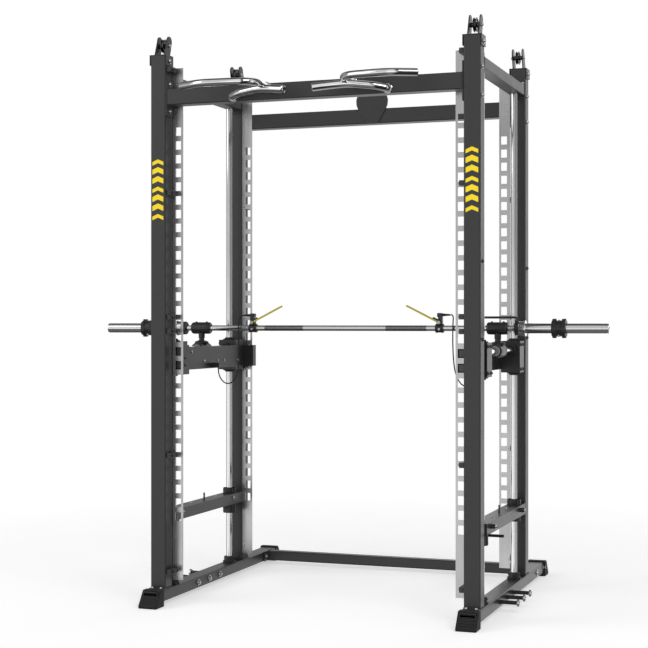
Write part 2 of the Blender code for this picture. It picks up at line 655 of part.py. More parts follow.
def build_hanger(name, side):
    """Bar housing, its post and the slider that runs on the cross rod."""
    x = side * SIDE_X
    half = HOUSING_L / 2
    bar_bore, rod_bore = bored(BAR_D, GAP) / 2, bored(ROD_D, 0.0004)
    housing = lathe("X", (BAR_Y, BAR_Z), [
        (x - half, bar_bore), (x - half, HOUSING_D / 2 - 0.004), (x - half + 0.004, HOUSING_D / 2),
        (x + half - 0.004, HOUSING_D / 2), (x + half, HOUSING_D / 2 - 0.004), (x + half, bar_bore)])
    post = rod("Z", (x, BAR_Y), POST_D, ROD_Z + SLIDER_D / 2 - 0.006, BAR_Z - HOUSING_D / 2 + 0.006, 12)
    disc = rod("Z", (x, BAR_Y), DISC_D, ROD_Z + SLIDER_D / 2 - 0.004, ROD_Z + SLIDER_D / 2 + 0.004)
    slider = ring("Y", (x, ROD_Z), SLIDER_D, rod_bore, *around(BAR_Y, SLIDER_L))
    piece(f"bar_hanger_{name}", union(slider, disc, post, housing), "black", (x, BAR_Y, ROD_Z))


def build_sleeve(name, side):
    """Turning weight sleeve and its clip collar."""
    bore = bored(BAR_D, GAP) / 2
    flange, body = SLEEVE_FLANGE_D / 2, SLEEVE_D / 2
    shoulder = SLEEVE_START + SLEEVE_FLANGE_L
    profile = [(BAR_HALF - 0.014, 0), (BAR_HALF - 0.014, bore), (SLEEVE_START, bore),
               (SLEEVE_START, flange), (shoulder, flange), (shoulder, body), (BAR_HALF - 0.003, body),
               (BAR_HALF, body - 0.003), (BAR_HALF, 0)]
    shape = lathe("X", (BAR_Y, BAR_Z), side_profile(side, profile))
    piece(f"sleeve_{name}", shape, "chrome", (side * SLEEVE_START, BAR_Y, BAR_Z))
    shape = ring("X", (BAR_Y, BAR_Z), CLIP_D, bored(SLEEVE_D, GAP), *around(side * CLIP_X, CLIP_L))
    piece(f"clip_{name}", shape, "black", (side * CLIP_X, BAR_Y, BAR_Z))


def build_lever(name, side):
    """Lever clamp on the bar, and the squeeze lever on its pivot."""
    pivot_x, pivot_z = side * LEVER_X, BAR_Z + LEVER_PIVOT_RISE
    clamp = ring("X", (BAR_Y, BAR_Z), CLAMP_D, bored(BAR_D, GAP), *around(side * LEVER_X, CLAMP_L))
    post_ys = around(BAR_Y, 0.022)
    post = box(span(side, LEVER_X - 0.010, LEVER_X + 0.012), post_ys,
               (BAR_Z + BAR_D / 2 + 0.0015, BAR_Z + 0.067))
    boot = rod("X", (BAR_Y, BAR_Z + 0.0585), 0.012, side * (LEVER_X + 0.008), side * (LEVER_X + 0.049), 8)
    pin = rod("Y", (pivot_x, pivot_z), PIVOT_D, post_ys[0] - 0.011, post_ys[0] + 0.004, 12)
    piece(f"lever_clamp_{name}", union(clamp, post, boot, pin), "black",
          (side * LEVER_X, BAR_Y, BAR_Z))
    hub_ys = (post_ys[0] - 0.0095, post_ys[0] - 0.0015)
    hub_y = sum(hub_ys) / 2
    hub = ring("Y", (pivot_x, pivot_z), 0.020, bored(PIVOT_D, 0.0004, 12), *hub_ys, 12)
    reach, rise = LEVER_REACH
    tip = Vector((pivot_x - side * reach, hub_y, pivot_z + rise))
    start = Vector((pivot_x, hub_y, pivot_z)).lerp(tip, 0.045)
    arm = pipe([start, tip], LEVER_D * 0.9)
    piece(f"lever_{name}", union(hub, arm), "yellow", (pivot_x, hub_y, pivot_z))


CABLE_ROUTE = (             # distance from the middle, depth behind BAR_Y, height above the bar axis
    (0.4894, 0.0000, 0.0585), (0.4940, 0.0000, 0.0585), (0.5005, -0.0045, 0.0550), (0.5040, -0.0120, 0.0430),
    (0.5045, -0.0190, 0.0270), (0.5045, -0.0220, 0.0050), (0.5040, -0.0220, -0.0250),
    (0.5035, -0.0200, -0.0650), (0.5040, -0.0160, -0.1100), (0.5060, -0.0120, -0.1500),
    (0.5100, -0.0090, -0.1850), (0.5190, -0.0060, -0.2150), (0.5330, -0.0040, -0.2390),
    (0.5520, -0.0020, -0.2530), (0.5720, -0.0010, -0.2555), (0.5900, 0.0000, -0.2470),
    (0.6050, 0.0000, -0.2290), (0.6130, 0.0000, -0.2080), (0.6150, 0.0000, -0.1818),
)


def build_cable(name, side):
    """Brake cable from the lever clamp down to the gland on the carriage."""
    points = [(side * x, BAR_Y + dy, BAR_Z + dz) for x, dy, dz in CABLE_ROUTE]
    obj = curve_tube(smooth_path(points, 0.016), CABLE_D, 2)
    obj.name = f"brake_cable_{name}"
    obj.data.name = obj.name
    obj.parent = bpy.data.objects["machine"]
    obj.data.materials.append(finish_material(obj.name, "rubber"))


# ---------------------------------------------------------------- safety arms
def build_safety_arm(name, side):
    """Hollow safety arm that slides on both guide rods; the right one is the left one turned round."""
    low, high = ARM_Z - ARM_H / 2, ARM_Z + ARM_H / 2
    ys = (FRONT_BACK + ARM_GAP, REAR_FRONT - 0.004)
    grip_y, plain_y = (GUIDE_REAR, GUIDE_FRONT) if side < 0 else (GUIDE_FRONT, GUIDE_REAR)
    xs = span(side, SIDE_IN, SIDE_OUT)
    body = box(xs, ys, (low, high))
    at_grip, at_plain = (side * SIDE_X, grip_y), (side * SIDE_X, plain_y)
    extras = [rod("Z", at_plain, 0.056, low - 0.024, low + 0.004),
              rod("Z", at_grip, 0.060, low - 0.045, low + 0.004),
              rod("Z", (side * SIDE_X, GUIDE_REAR), 0.060, high - 0.004, high + 0.026),
              rod("Z", (side * SIDE_X, (ys[0] + ys[1]) / 2), 0.008, high - 0.002, high + 0.033, 8)]
    for y in (GUIDE_FRONT + 0.030, GUIDE_REAR - 0.030):
        extras.append(rod("X", (y, ARM_Z + 0.006), 0.020, side * (SIDE_OUT - 0.003),
                          side * (SIDE_OUT + 0.020), 12))
    body = union(body, *extras)
    cavity = box(span(side, SIDE_IN + TUBE_WALL, SIDE_OUT - TUBE_WALL),
                 (GUIDE_FRONT + 0.045, GUIDE_REAR - 0.045), (low + TUBE_WALL, high - TUBE_WALL))
    drain = rod("Z", (side * SIDE_X, (ys[0] + ys[1]) / 2), 0.010, low - 0.01, low + 0.01, 8)
    bores = [rod("Z", (side * SIDE_X, y), bored(GUIDE_D, 0.0005), low - 0.06, high + 0.04)
             for y in (GUIDE_FRONT, GUIDE_REAR)]
    piece(f"safety_arm_{name}", cut(body, cavity, drain, group(bores)), "paint", (0, 0, ARM_Z))
    build_safety_handle(name, side, grip_y, low)


def build_safety_handle(name, side, grip_y, arm_low):
    """Release handle that swings on a pin under the arm."""
    inward = 1 if grip_y == GUIDE_FRONT else -1
    y = grip_y + inward * 0.048
    top = arm_low - GAP
    hub = rod("Z", (side * SIDE_X, y), 0.024, top - 0.020, top, 12)
    z = top - 0.010
    grip = rod("X", (y, z), HANDLE_D, side * (SIDE_X + 0.002), side * (SIDE_X + HANDLE_L), 12)
    piece(f"safety_handle_{name}", union(hub, grip), "rubber", (side * SIDE_X, y, z))


def footprint_centre():
    """Middle of the depth that all the pieces cover."""
    bpy.context.view_layer.update()
    depths = [(obj.matrix_world @ Vector(corner)).y for obj in bpy.data.objects
              if obj.type in {"MESH", "CURVE"} for corner in obj.bound_box]
    return (min(depths) + max(depths)) / 2


def main():
    """Build the machine and centre its footprint on the origin."""
    for obj in list(bpy.data.objects):
        bpy.data.objects.remove(obj)
    machine = bpy.data.objects.new("machine", None)
    bpy.context.collection.objects.link(machine)
    build_cross_beams()
    build_shaft()
    for name, side in SIDES:
        build_rack(name, side)
        build_carriage(name, side)
        build_pawls(name, side)
        build_hanger(name, side)
        build_sleeve(name, side)
        build_lever(name, side)
        build_cable(name, side)
        build_safety_arm(name, side)
    machine.matrix_world = Matrix.Translation((0, -footprint_centre(), 0))


main()
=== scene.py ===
"""Looks of the smith machine: finishes, fine pieces, fasteners, cables and the studio around it.

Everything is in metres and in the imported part's frame: X along the bar, +Y to the rear, +Z up.
"""

import logging
import math
from dataclasses import dataclass, field
from enum import Enum
from typing import Any, Iterable, Sequence

import bmesh
import bpy
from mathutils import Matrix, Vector
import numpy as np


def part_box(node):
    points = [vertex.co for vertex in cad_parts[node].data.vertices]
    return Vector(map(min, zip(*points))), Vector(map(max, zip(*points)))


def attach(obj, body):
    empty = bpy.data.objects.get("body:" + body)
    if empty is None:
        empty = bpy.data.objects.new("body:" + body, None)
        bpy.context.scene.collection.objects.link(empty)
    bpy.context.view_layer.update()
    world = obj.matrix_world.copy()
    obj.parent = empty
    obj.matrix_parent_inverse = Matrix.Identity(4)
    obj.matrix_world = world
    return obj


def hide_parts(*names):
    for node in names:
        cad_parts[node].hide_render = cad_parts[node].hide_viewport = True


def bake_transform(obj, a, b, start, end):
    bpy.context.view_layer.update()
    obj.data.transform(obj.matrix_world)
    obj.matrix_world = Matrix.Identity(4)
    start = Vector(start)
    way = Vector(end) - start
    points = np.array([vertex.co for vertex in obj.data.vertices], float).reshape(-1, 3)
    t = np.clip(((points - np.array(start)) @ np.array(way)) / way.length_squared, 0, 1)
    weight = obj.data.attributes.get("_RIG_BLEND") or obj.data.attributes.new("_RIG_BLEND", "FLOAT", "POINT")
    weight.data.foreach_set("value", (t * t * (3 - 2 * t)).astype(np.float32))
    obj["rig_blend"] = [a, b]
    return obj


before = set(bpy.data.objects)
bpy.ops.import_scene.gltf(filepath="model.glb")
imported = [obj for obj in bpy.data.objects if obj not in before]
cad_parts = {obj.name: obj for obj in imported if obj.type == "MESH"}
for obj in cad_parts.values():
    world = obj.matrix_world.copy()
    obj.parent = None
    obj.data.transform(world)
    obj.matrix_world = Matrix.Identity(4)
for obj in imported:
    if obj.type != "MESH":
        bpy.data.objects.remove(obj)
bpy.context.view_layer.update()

LOG = logging.getLogger("smith_machine")
SIDES = (("left", -1), ("right", 1))
PAWL_HALF = 0.015       # half the height of one pawl
SHARP_ANGLE = math.radians(33)
Point = tuple[float, float, float]
Pair = tuple[float, float]
Colour = tuple[float, float, float, float]


class Axis(Enum):
    """Main direction of a turned or extruded shape."""
    X = "X"
    Y = "Y"
    Z = "Z"

    def point(self, along: float, a: float, b: float) -> Vector:
        """Point from a position along the axis and its two other coordinates."""
        order = {"X": (along, a, b), "Y": (a, along, b), "Z": (a, b, along)}
        return Vector(order[self.value])


class Slot(Enum):
    """Material slot names."""
    PAINT = "graphite_paint"
    BLACK = "black_metal"
    CARRIAGE = "carriage_alloy"
    ALLOY = "black_alloy"
    RUBBER = "rubber"
    CHROME = "chrome"
    PLATE = "polished_plate"
    STEEL = "dark_steel"
    SILVER = "silver_alloy"
    CAST = "cast_weight"
    YELLOW = "yellow_lever"


# ---------------------------------------------------------------- node trees
class Graph:
    """Adds nodes to a tree and wires their sockets."""

    def __init__(self, tree: bpy.types.NodeTree) -> None:
        """Args:
            tree: the tree that the nodes go into.
        """
        self.tree = tree

    def add(self, kind: str, inputs: dict[Any, Any] | None = None, **settings: Any) -> bpy.types.Node:
        """Add a node.

        Args:
            kind: the node's type name.
            inputs: value or output socket for each input, by name or number.
            settings: properties of the node.

        Returns:
            The new node.
        """
        node = self.tree.nodes.new(kind)
        for key, value in settings.items():
            setattr(node, key, value)
        for key, value in (inputs or {}).items():
            if isinstance(value, bpy.types.NodeSocket):
                self.tree.links.new(value, node.inputs[key])
            else:
                node.inputs[key].default_value = value
        return node

    def math(self, operation: str, *values: Any) -> bpy.types.NodeSocket:
        """Output of a Math node on one, two or three values or sockets."""
        return self.add("ShaderNodeMath", dict(enumerate(values)), operation=operation).outputs[0]

    def ramp(self, value: Any, low: float, high: float, to_low: Any, to_high: Any) -> bpy.types.NodeSocket:
        """Output of a clamped Map Range node."""
        names = ("Value", "From Min", "From Max", "To Min", "To Max")
        inputs = dict(zip(names, (value, low, high, to_low, to_high)))
        return self.add("ShaderNodeMapRange", inputs).outputs["Result"]

    def blend(self, factor: Any, a: Any, b: Any) -> bpy.types.NodeSocket:
        """Colour that goes from a to b with the factor."""
        node = self.add("ShaderNodeMix", {0: factor, 6: a, 7: b}, data_type="RGBA")
        return node.outputs[2]

    def blend_values(self, value: Any, stops: Sequence[Pair]) -> bpy.types.NodeSocket:
        """Value that runs through (position, height) stops and stays level outside them."""
        total: Any = stops[0][1]
        for (low, start), (high, goal) in zip(stops, stops[1:]):
            total = self.math("ADD", total, self.ramp(value, low, high, 0.0, goal - start))
        return total

    def noise(self, vector: Any, scale: Any, detail: float = 3.0) -> bpy.types.NodeSocket:
        """Value of a noise texture."""
        inputs = {"Vector": vector, "Scale": scale, "Detail": detail, "Roughness": 0.55}
        return self.add("ShaderNodeTexNoise", inputs).outputs[0]


def new_group(name: str, kind: str, inputs: Sequence[tuple[str, str, Any]],
              outputs: Sequence[tuple[str, str]]) -> tuple[Graph, bpy.types.Node, bpy.types.Node]:
    """Start a node group.

    Args:
        name: the group's name.
        kind: type of the tree, for shaders or for geometry.
        inputs: name, socket type and default value (or None) of each input.
        outputs: name and socket type of each output.

    Returns:
        The graph of the new tree, its input node and its output node.
    """
    tree = bpy.data.node_groups.new(name, kind)
    for label, socket, default in inputs:
        made = tree.interface.new_socket(label, in_out="INPUT", socket_type=socket)
        if default is not None:
            made.default_value = default
    for label, socket in outputs:
        tree.interface.new_socket(label, in_out="OUTPUT", socket_type=socket)
    graph = Graph(tree)
    return graph, graph.add("NodeGroupInput"), graph.add("NodeGroupOutput")


FLOAT, VECTOR, COLOUR = "NodeSocketFloat", "NodeSocketVector", "NodeSocketColor"


class Effects:
    """Shader groups that several finishes use, each built once."""

    def __init__(self) -> None:
        """Build all the groups."""
        self.grain = self._coat_grain()
        self.wear = self._edge_wear()
        self.brush = self._brush_lines()
        self.dust = self._dust_film()

    def _coat_grain(self) -> bpy.types.NodeTree:
        """Group for the fine orange peel and slow clouds of a sprayed or moulded surface."""
        graph, start, end = new_group("coat_grain", "ShaderNodeTree", (
            ("Vector", VECTOR, None), ("Deep Colour", COLOUR, None), ("Light Colour", COLOUR, None),
            ("Grain Scale", FLOAT, 900.0), ("Cloud Scale", FLOAT, 7.0),
            ("Smooth", FLOAT, 0.35), ("Rough", FLOAT, 0.5)),
            (("Color", COLOUR), ("Roughness", FLOAT), ("Height", FLOAT)))
        put = start.outputs
        fine = graph.noise(put["Vector"], put["Grain Scale"], 2.0)
        clouds = graph.noise(put["Vector"], put["Cloud Scale"], 4.0)
        tint = graph.math("ADD", graph.math("MULTIPLY", clouds, 0.45), graph.math("MULTIPLY", fine, 0.55))
        shade = graph.ramp(tint, 0.3, 0.7, 0.0, 1.0)
        links = graph.tree.links
        links.new(graph.blend(shade, put["Deep Colour"], put["Light Colour"]), end.inputs["Color"])
        links.new(graph.ramp(tint, 0.3, 0.7, put["Smooth"], put["Rough"]), end.inputs["Roughness"])
        links.new(fine, end.inputs["Height"])
        return graph.tree

    def _edge_wear(self) -> bpy.types.NodeTree:
        """Group for the rubbed outer edges of a coated piece."""
        graph, start, end = new_group("edge_wear", "ShaderNodeTree", (
            ("Vector", VECTOR, None), ("Scale", FLOAT, 40.0), ("Strength", FLOAT, 0.5)),
            (("Mask", FLOAT),))
        flat = graph.add("ShaderNodeNewGeometry").outputs["Normal"]
        rounded = graph.add("ShaderNodeBevel", {"Radius": 0.0016}, samples=4).outputs[0]
        turned = graph.add("ShaderNodeVectorMath", {0: flat, 1: rounded},
                           operation="DOT_PRODUCT").outputs["Value"]
        ridge = graph.ramp(turned, 0.985, 0.88, 0.0, 1.0)
        patch = graph.ramp(graph.noise(start.outputs["Vector"], start.outputs["Scale"], 5.0),
                           0.42, 0.66, 0.0, 1.0)
        mask = graph.math("MULTIPLY", graph.math("MULTIPLY", ridge, patch), start.outputs["Strength"])
        graph.tree.links.new(mask, end.inputs["Mask"])
        return graph.tree

    def _brush_lines(self) -> bpy.types.NodeTree:
        """Group for fine lines left by grinding or polishing along one direction."""
        graph, start, end = new_group("brush_lines", "ShaderNodeTree", (
            ("Vector", VECTOR, None), ("Stretch", VECTOR, None), ("Scale", FLOAT, 1.0),
            ("Smooth", FLOAT, 0.1), ("Rough", FLOAT, 0.3)),
            (("Lines", FLOAT), ("Roughness", FLOAT), ("Height", FLOAT)))
        put = start.outputs
        drawn = graph.add("ShaderNodeVectorMath", {0: put["Vector"], 1: put["Stretch"]},
                          operation="MULTIPLY").outputs[0]
        lines = graph.noise(drawn, put["Scale"], 4.0)
        smudge = graph.noise(put["Vector"], 9.0, 3.0)
        mixed = graph.math("ADD", graph.math("MULTIPLY", lines, 0.6), graph.math("MULTIPLY", smudge, 0.4))
        links = graph.tree.links
        links.new(lines, end.inputs["Lines"])
        links.new(graph.ramp(mixed, 0.35, 0.65, put["Smooth"], put["Rough"]), end.inputs["Roughness"])
        links.new(lines, end.inputs["Height"])
        return graph.tree

    def _dust_film(self) -> bpy.types.NodeTree:
        """Group for the thin dust that settles on faces that look up."""
        graph, start, end = new_group("dust_film", "ShaderNodeTree", (
            ("Vector", VECTOR, None), ("Scale", FLOAT, 14.0), ("Strength", FLOAT, 0.2)),
            (("Mask", FLOAT),))
        normal = graph.add("ShaderNodeNewGeometry").outputs["Normal"]
        up = graph.add("ShaderNodeSeparateXYZ", {0: normal}).outputs["Z"]
        lying = graph.ramp(up, 0.5, 0.98, 0.0, 1.0)
        cloud = graph.ramp(graph.noise(start.outputs["Vector"], start.outputs["Scale"], 5.0),
                           0.35, 0.7, 0.3, 1.0)
        mask = graph.math("MULTIPLY", graph.math("MULTIPLY", lying, cloud), start.outputs["Strength"])
        graph.tree.links.new(mask, end.inputs["Mask"])
        return graph.tree


EFFECTS = Effects()
MATERIALS: dict[str, bpy.types.Material] = {}


@dataclass(frozen=True)
class Finish:
    """What every finish has: a name, a slot and a material that is built once."""
    name: str
    slot: Slot

    def material(self) -> bpy.types.Material:
        """The finish's material, built at its first use.

        Returns:
            The material.
        """
        if self.name not in MATERIALS:
            made = bpy.data.materials.new(self.name)
            made.use_nodes = True
            made.node_tree.nodes.clear()
            graph = Graph(made.node_tree)
            shader = graph.add("ShaderNodeBsdfPrincipled")
            output = graph.add("ShaderNodeOutputMaterial")
            made.node_tree.links.new(shader.outputs[0], output.inputs[0])
            self.dress(graph, shader, graph.add("ShaderNodeTexCoord").outputs["Object"])
            MATERIALS[self.name] = made
        return MATERIALS[self.name]

    def dress(self, graph: Graph, shader: bpy.types.Node, place: bpy.types.NodeSocket) -> None:
        """Wire the finish's effects into its shader; each kind of finish has its own."""
        raise NotImplementedError


def grouped(graph: Graph, tree: bpy.types.NodeTree, inputs: dict[str, Any]) -> bpy.types.Node:
    """Place a shader group with its own values.

    Args:
        graph: the material's graph.
        tree: the group.
        inputs: its values or sockets.

    Returns:
        The group node.
    """
    node = graph.add("ShaderNodeGroup", node_tree=tree)
    for key, value in inputs.items():
        if isinstance(value, bpy.types.NodeSocket):
            graph.tree.links.new(value, node.inputs[key])
        else:
            node.inputs[key].default_value = value
    return node


@dataclass(frozen=True)
class Coated(Finish):
    """Powder coat, anodised film, enamel or moulded rubber."""
    deep: Colour = (0.03, 0.03, 0.032, 1.0)
    light: Colour = (0.04, 0.04, 0.042, 1.0)
    bare: Colour = (0.2, 0.2, 0.2, 1.0)
    smooth: float = 0.36
    rough: float = 0.5
    grain: float = 900.0
    peel: float = 0.00004
    wear: float = 0.35
    dust: float = 0.10
    level: float = 0.5

    def dress(self, graph: Graph, shader: bpy.types.Node, place: bpy.types.NodeSocket) -> None:
        """Coat colour with worn edges and dust, and the coat's grain as roughness and bump."""
        coat = grouped(graph, EFFECTS.grain, {
            "Vector": place, "Deep Colour": self.deep, "Light Colour": self.light,
            "Grain Scale": self.grain, "Smooth": self.smooth, "Rough": self.rough})
        rub = grouped(graph, EFFECTS.wear, {"Vector": place, "Strength": self.wear})
        film = grouped(graph, EFFECTS.dust, {"Vector": place, "Strength": self.dust})
        rubbed = graph.blend(rub.outputs["Mask"], coat.outputs["Color"], self.bare)
        dusty = graph.blend(film.outputs["Mask"], rubbed, (0.42, 0.41, 0.39, 1.0))
        bump = graph.add("ShaderNodeBump", {"Strength": 0.6, "Distance": self.peel,
                                            "Height": coat.outputs["Height"]})
        shader.inputs["Specular IOR Level"].default_value = self.level
        links = graph.tree.links
        links.new(dusty, shader.inputs["Base Color"])
        links.new(coat.outputs["Roughness"], shader.inputs["Roughness"])
        links.new(bump.outputs[0], shader.inputs["Normal"])


@dataclass(frozen=True)
class Polished(Finish):
    """Bare or plated metal with lines along one direction."""
    deep: Colour = (0.62, 0.62, 0.63, 1.0)
    light: Colour = (0.80, 0.80, 0.81, 1.0)
    stretch: Point = (1.0, 1.0, 1.0)
    scale: float = 300.0
    smooth: float = 0.05
    rough: float = 0.16
    depth: float = 0.000006
    dust: float = 0.04

    def dress(self, graph: Graph, shader: bpy.types.Node, place: bpy.types.NodeSocket) -> None:
        """Metal colour and roughness that follow the polishing lines, with a little dust."""
        brush = grouped(graph, EFFECTS.brush, {
            "Vector": place, "Stretch": self.stretch, "Scale": self.scale,
            "Smooth": self.smooth, "Rough": self.rough})
        film = grouped(graph, EFFECTS.dust, {"Vector": place, "Strength": self.dust})
        metal = graph.blend(brush.outputs["Lines"], self.deep, self.light)
        bump = graph.add("ShaderNodeBump", {"Strength": 0.4, "Distance": self.depth,
                                            "Height": brush.outputs["Height"]})
        shader.inputs["Metallic"].default_value = 1.0
        links = graph.tree.links
        links.new(graph.blend(film.outputs["Mask"], metal, (0.5, 0.5, 0.5, 1.0)), shader.inputs["Base Color"])
        links.new(brush.outputs["Roughness"], shader.inputs["Roughness"])
        links.new(bump.outputs[0], shader.inputs["Normal"])


PAINT = Coated("graphite_powder_coat", Slot.PAINT, (0.0225, 0.0225, 0.0230, 1), (0.0270, 0.0270, 0.0275, 1),
               (0.10, 0.10, 0.10, 1), 0.34, 0.42, dust=0.05)
BLACK = Coated("black_powder_coat", Slot.BLACK, (0.008, 0.008, 0.008, 1), (0.014, 0.014, 0.014, 1),
               (0.10, 0.10, 0.10, 1), 0.26, 0.44)
ANODISED = Coated("black_anodised", Slot.CARRIAGE, (0.009, 0.009, 0.0095, 1), (0.015, 0.015, 0.015, 1),
                  (0.22, 0.22, 0.22, 1), 0.30, 0.42, 1600.0, 0.00002)
CLAMP_BLACK = Coated("clamp_anodised", Slot.ALLOY, (0.008, 0.008, 0.008, 1), (0.014, 0.014, 0.014, 1),
                     (0.25, 0.25, 0.25, 1), 0.28, 0.42, 1600.0, 0.00002)
RUBBER = Coated("moulded_rubber", Slot.RUBBER, (0.007, 0.007, 0.007, 1), (0.014, 0.014, 0.014, 1),
                (0.03, 0.03, 0.03, 1), 0.55, 0.75, 700.0, 0.00012, dust=0.12, level=0.35)
SEAL = Coated("grey_polymer_seal", Slot.BLACK, (0.16, 0.16, 0.16, 1), (0.22, 0.22, 0.215, 1),
              (0.5, 0.5, 0.5, 1), 0.40, 0.55, 700.0, 0.00005)
LEVER_YELLOW = Coated("lever_enamel", Slot.YELLOW, (0.46, 0.38, 0.012, 1), (0.56, 0.47, 0.02, 1),
                      (0.60, 0.58, 0.50, 1), 0.22, 0.34, 500.0, 0.00003)
DECAL_YELLOW = Coated("decal_vinyl", Slot.YELLOW, (0.90, 0.66, 0.0, 1), (0.98, 0.74, 0.003, 1),
                      (0.9, 0.8, 0.3, 1), 0.38, 0.50, 300.0, 0.00002, wear=0.1, dust=0.0)
CAST = Coated("cast_iron", Slot.CAST, (0.03, 0.03, 0.03, 1), (0.06, 0.055, 0.05, 1),
              (0.2, 0.2, 0.2, 1), 0.55, 0.75, 260.0, 0.0003)
UPRIGHT_CHROME = Polished("guide_rod_chrome", Slot.CHROME, stretch=(1.0, 1.0, 0.02))
CROSS_CHROME = Polished("cross_rod_chrome", Slot.CHROME, stretch=(1.0, 0.02, 1.0))
BAR_CHROME = Polished("bar_chrome", Slot.CHROME, stretch=(0.02, 1.0, 1.0), smooth=0.11, rough=0.18)
KNURL_STEEL = Polished("knurled_steel", Slot.CHROME, (0.15, 0.15, 0.155, 1), (0.26, 0.26, 0.27, 1),
                       smooth=0.26, rough=0.42)
GRIP_CHROME = Polished("grip_chrome", Slot.CHROME, stretch=(0.2, 1.0, 1.0), smooth=0.04, rough=0.11)
PLATE_STEEL = Polished("brushed_plate", Slot.PLATE, (0.44, 0.44, 0.445, 1), (0.56, 0.56, 0.565, 1),
                       (1.0, 1.0, 0.012), 420.0, 0.22, 0.36, 0.00003)
PAWL_STEEL = Polished("hardened_steel", Slot.STEEL, (0.05, 0.05, 0.052, 1), (0.11, 0.11, 0.11, 1),
                      (1.0, 0.05, 1.0), 260.0, 0.30, 0.45)
ZINC = Polished("zinc_plate", Slot.SILVER, (0.55, 0.55, 0.55, 1), (0.72, 0.72, 0.71, 1),
                smooth=0.16, rough=0.30)
DARK_BOLT = Polished("blackened_bolt", Slot.STEEL, (0.05, 0.05, 0.05, 1), (0.14, 0.14, 0.14, 1),
                     smooth=0.22, rough=0.36)


# ---------------------------------------------------------------- shapes
def around(centre: float, width: float) -> Pair:
    """Range of the given width about a centre."""
    return centre - width / 2, centre + width / 2


def span(side: int, near: float, far: float) -> Pair:
    """X range of a piece from its distances to the middle of the rack."""
    return min(side * near, side * far), max(side * near, side * far)


def round_rect(centre: Pair, width: float, height: float, radius: float, steps: int = 4) -> list[Pair]:
    """Outline of a rectangle with round corners.

    Args:
        centre: its middle.
        width: its first side.
        height: its second side.
        radius: the corners' radius.
        steps: straight steps in each corner.

    Returns:
        The outline's points.
    """
    points = []
    for turn, (sx, sy) in enumerate(((1, 1), (-1, 1), (-1, -1), (1, -1))):
        cx = centre[0] + sx * (width / 2 - radius)
        cy = centre[1] + sy * (height / 2 - radius)
        for i in range(steps + 1):
            angle = (turn + i / steps) * math.pi / 2
            points.append((cx + radius * math.cos(angle), cy + radius * math.sin(angle)))
    return points


def rounded_path(points: Sequence[Vector], radius: float, steps: int = 6) -> list[Vector]:
    """Path whose corners are replaced by smooth bends.

    Args:
        points: the corners.
        radius: most that a bend takes off each straight.
        steps: points in a bend.

    Returns:
        The smooth path's points.
    """
    path = [points[0]]
    for before, corner, after in zip(points, points[1:], points[2:]):
        reach = min(radius, (before - corner).length * 0.48, (after - corner).length * 0.48)
        a = corner + (before - corner).normalized() * reach
        b = corner + (after - corner).normalized() * reach
        for i in range(steps + 1):
            t = i / steps
            path.append(a * (1 - t) ** 2 + corner * 2 * t * (1 - t) + b * t ** 2)
    path.append(points[-1])
    return [p for i, p in enumerate(path) if i == 0 or (p - path[i - 1]).length > 1e-5]


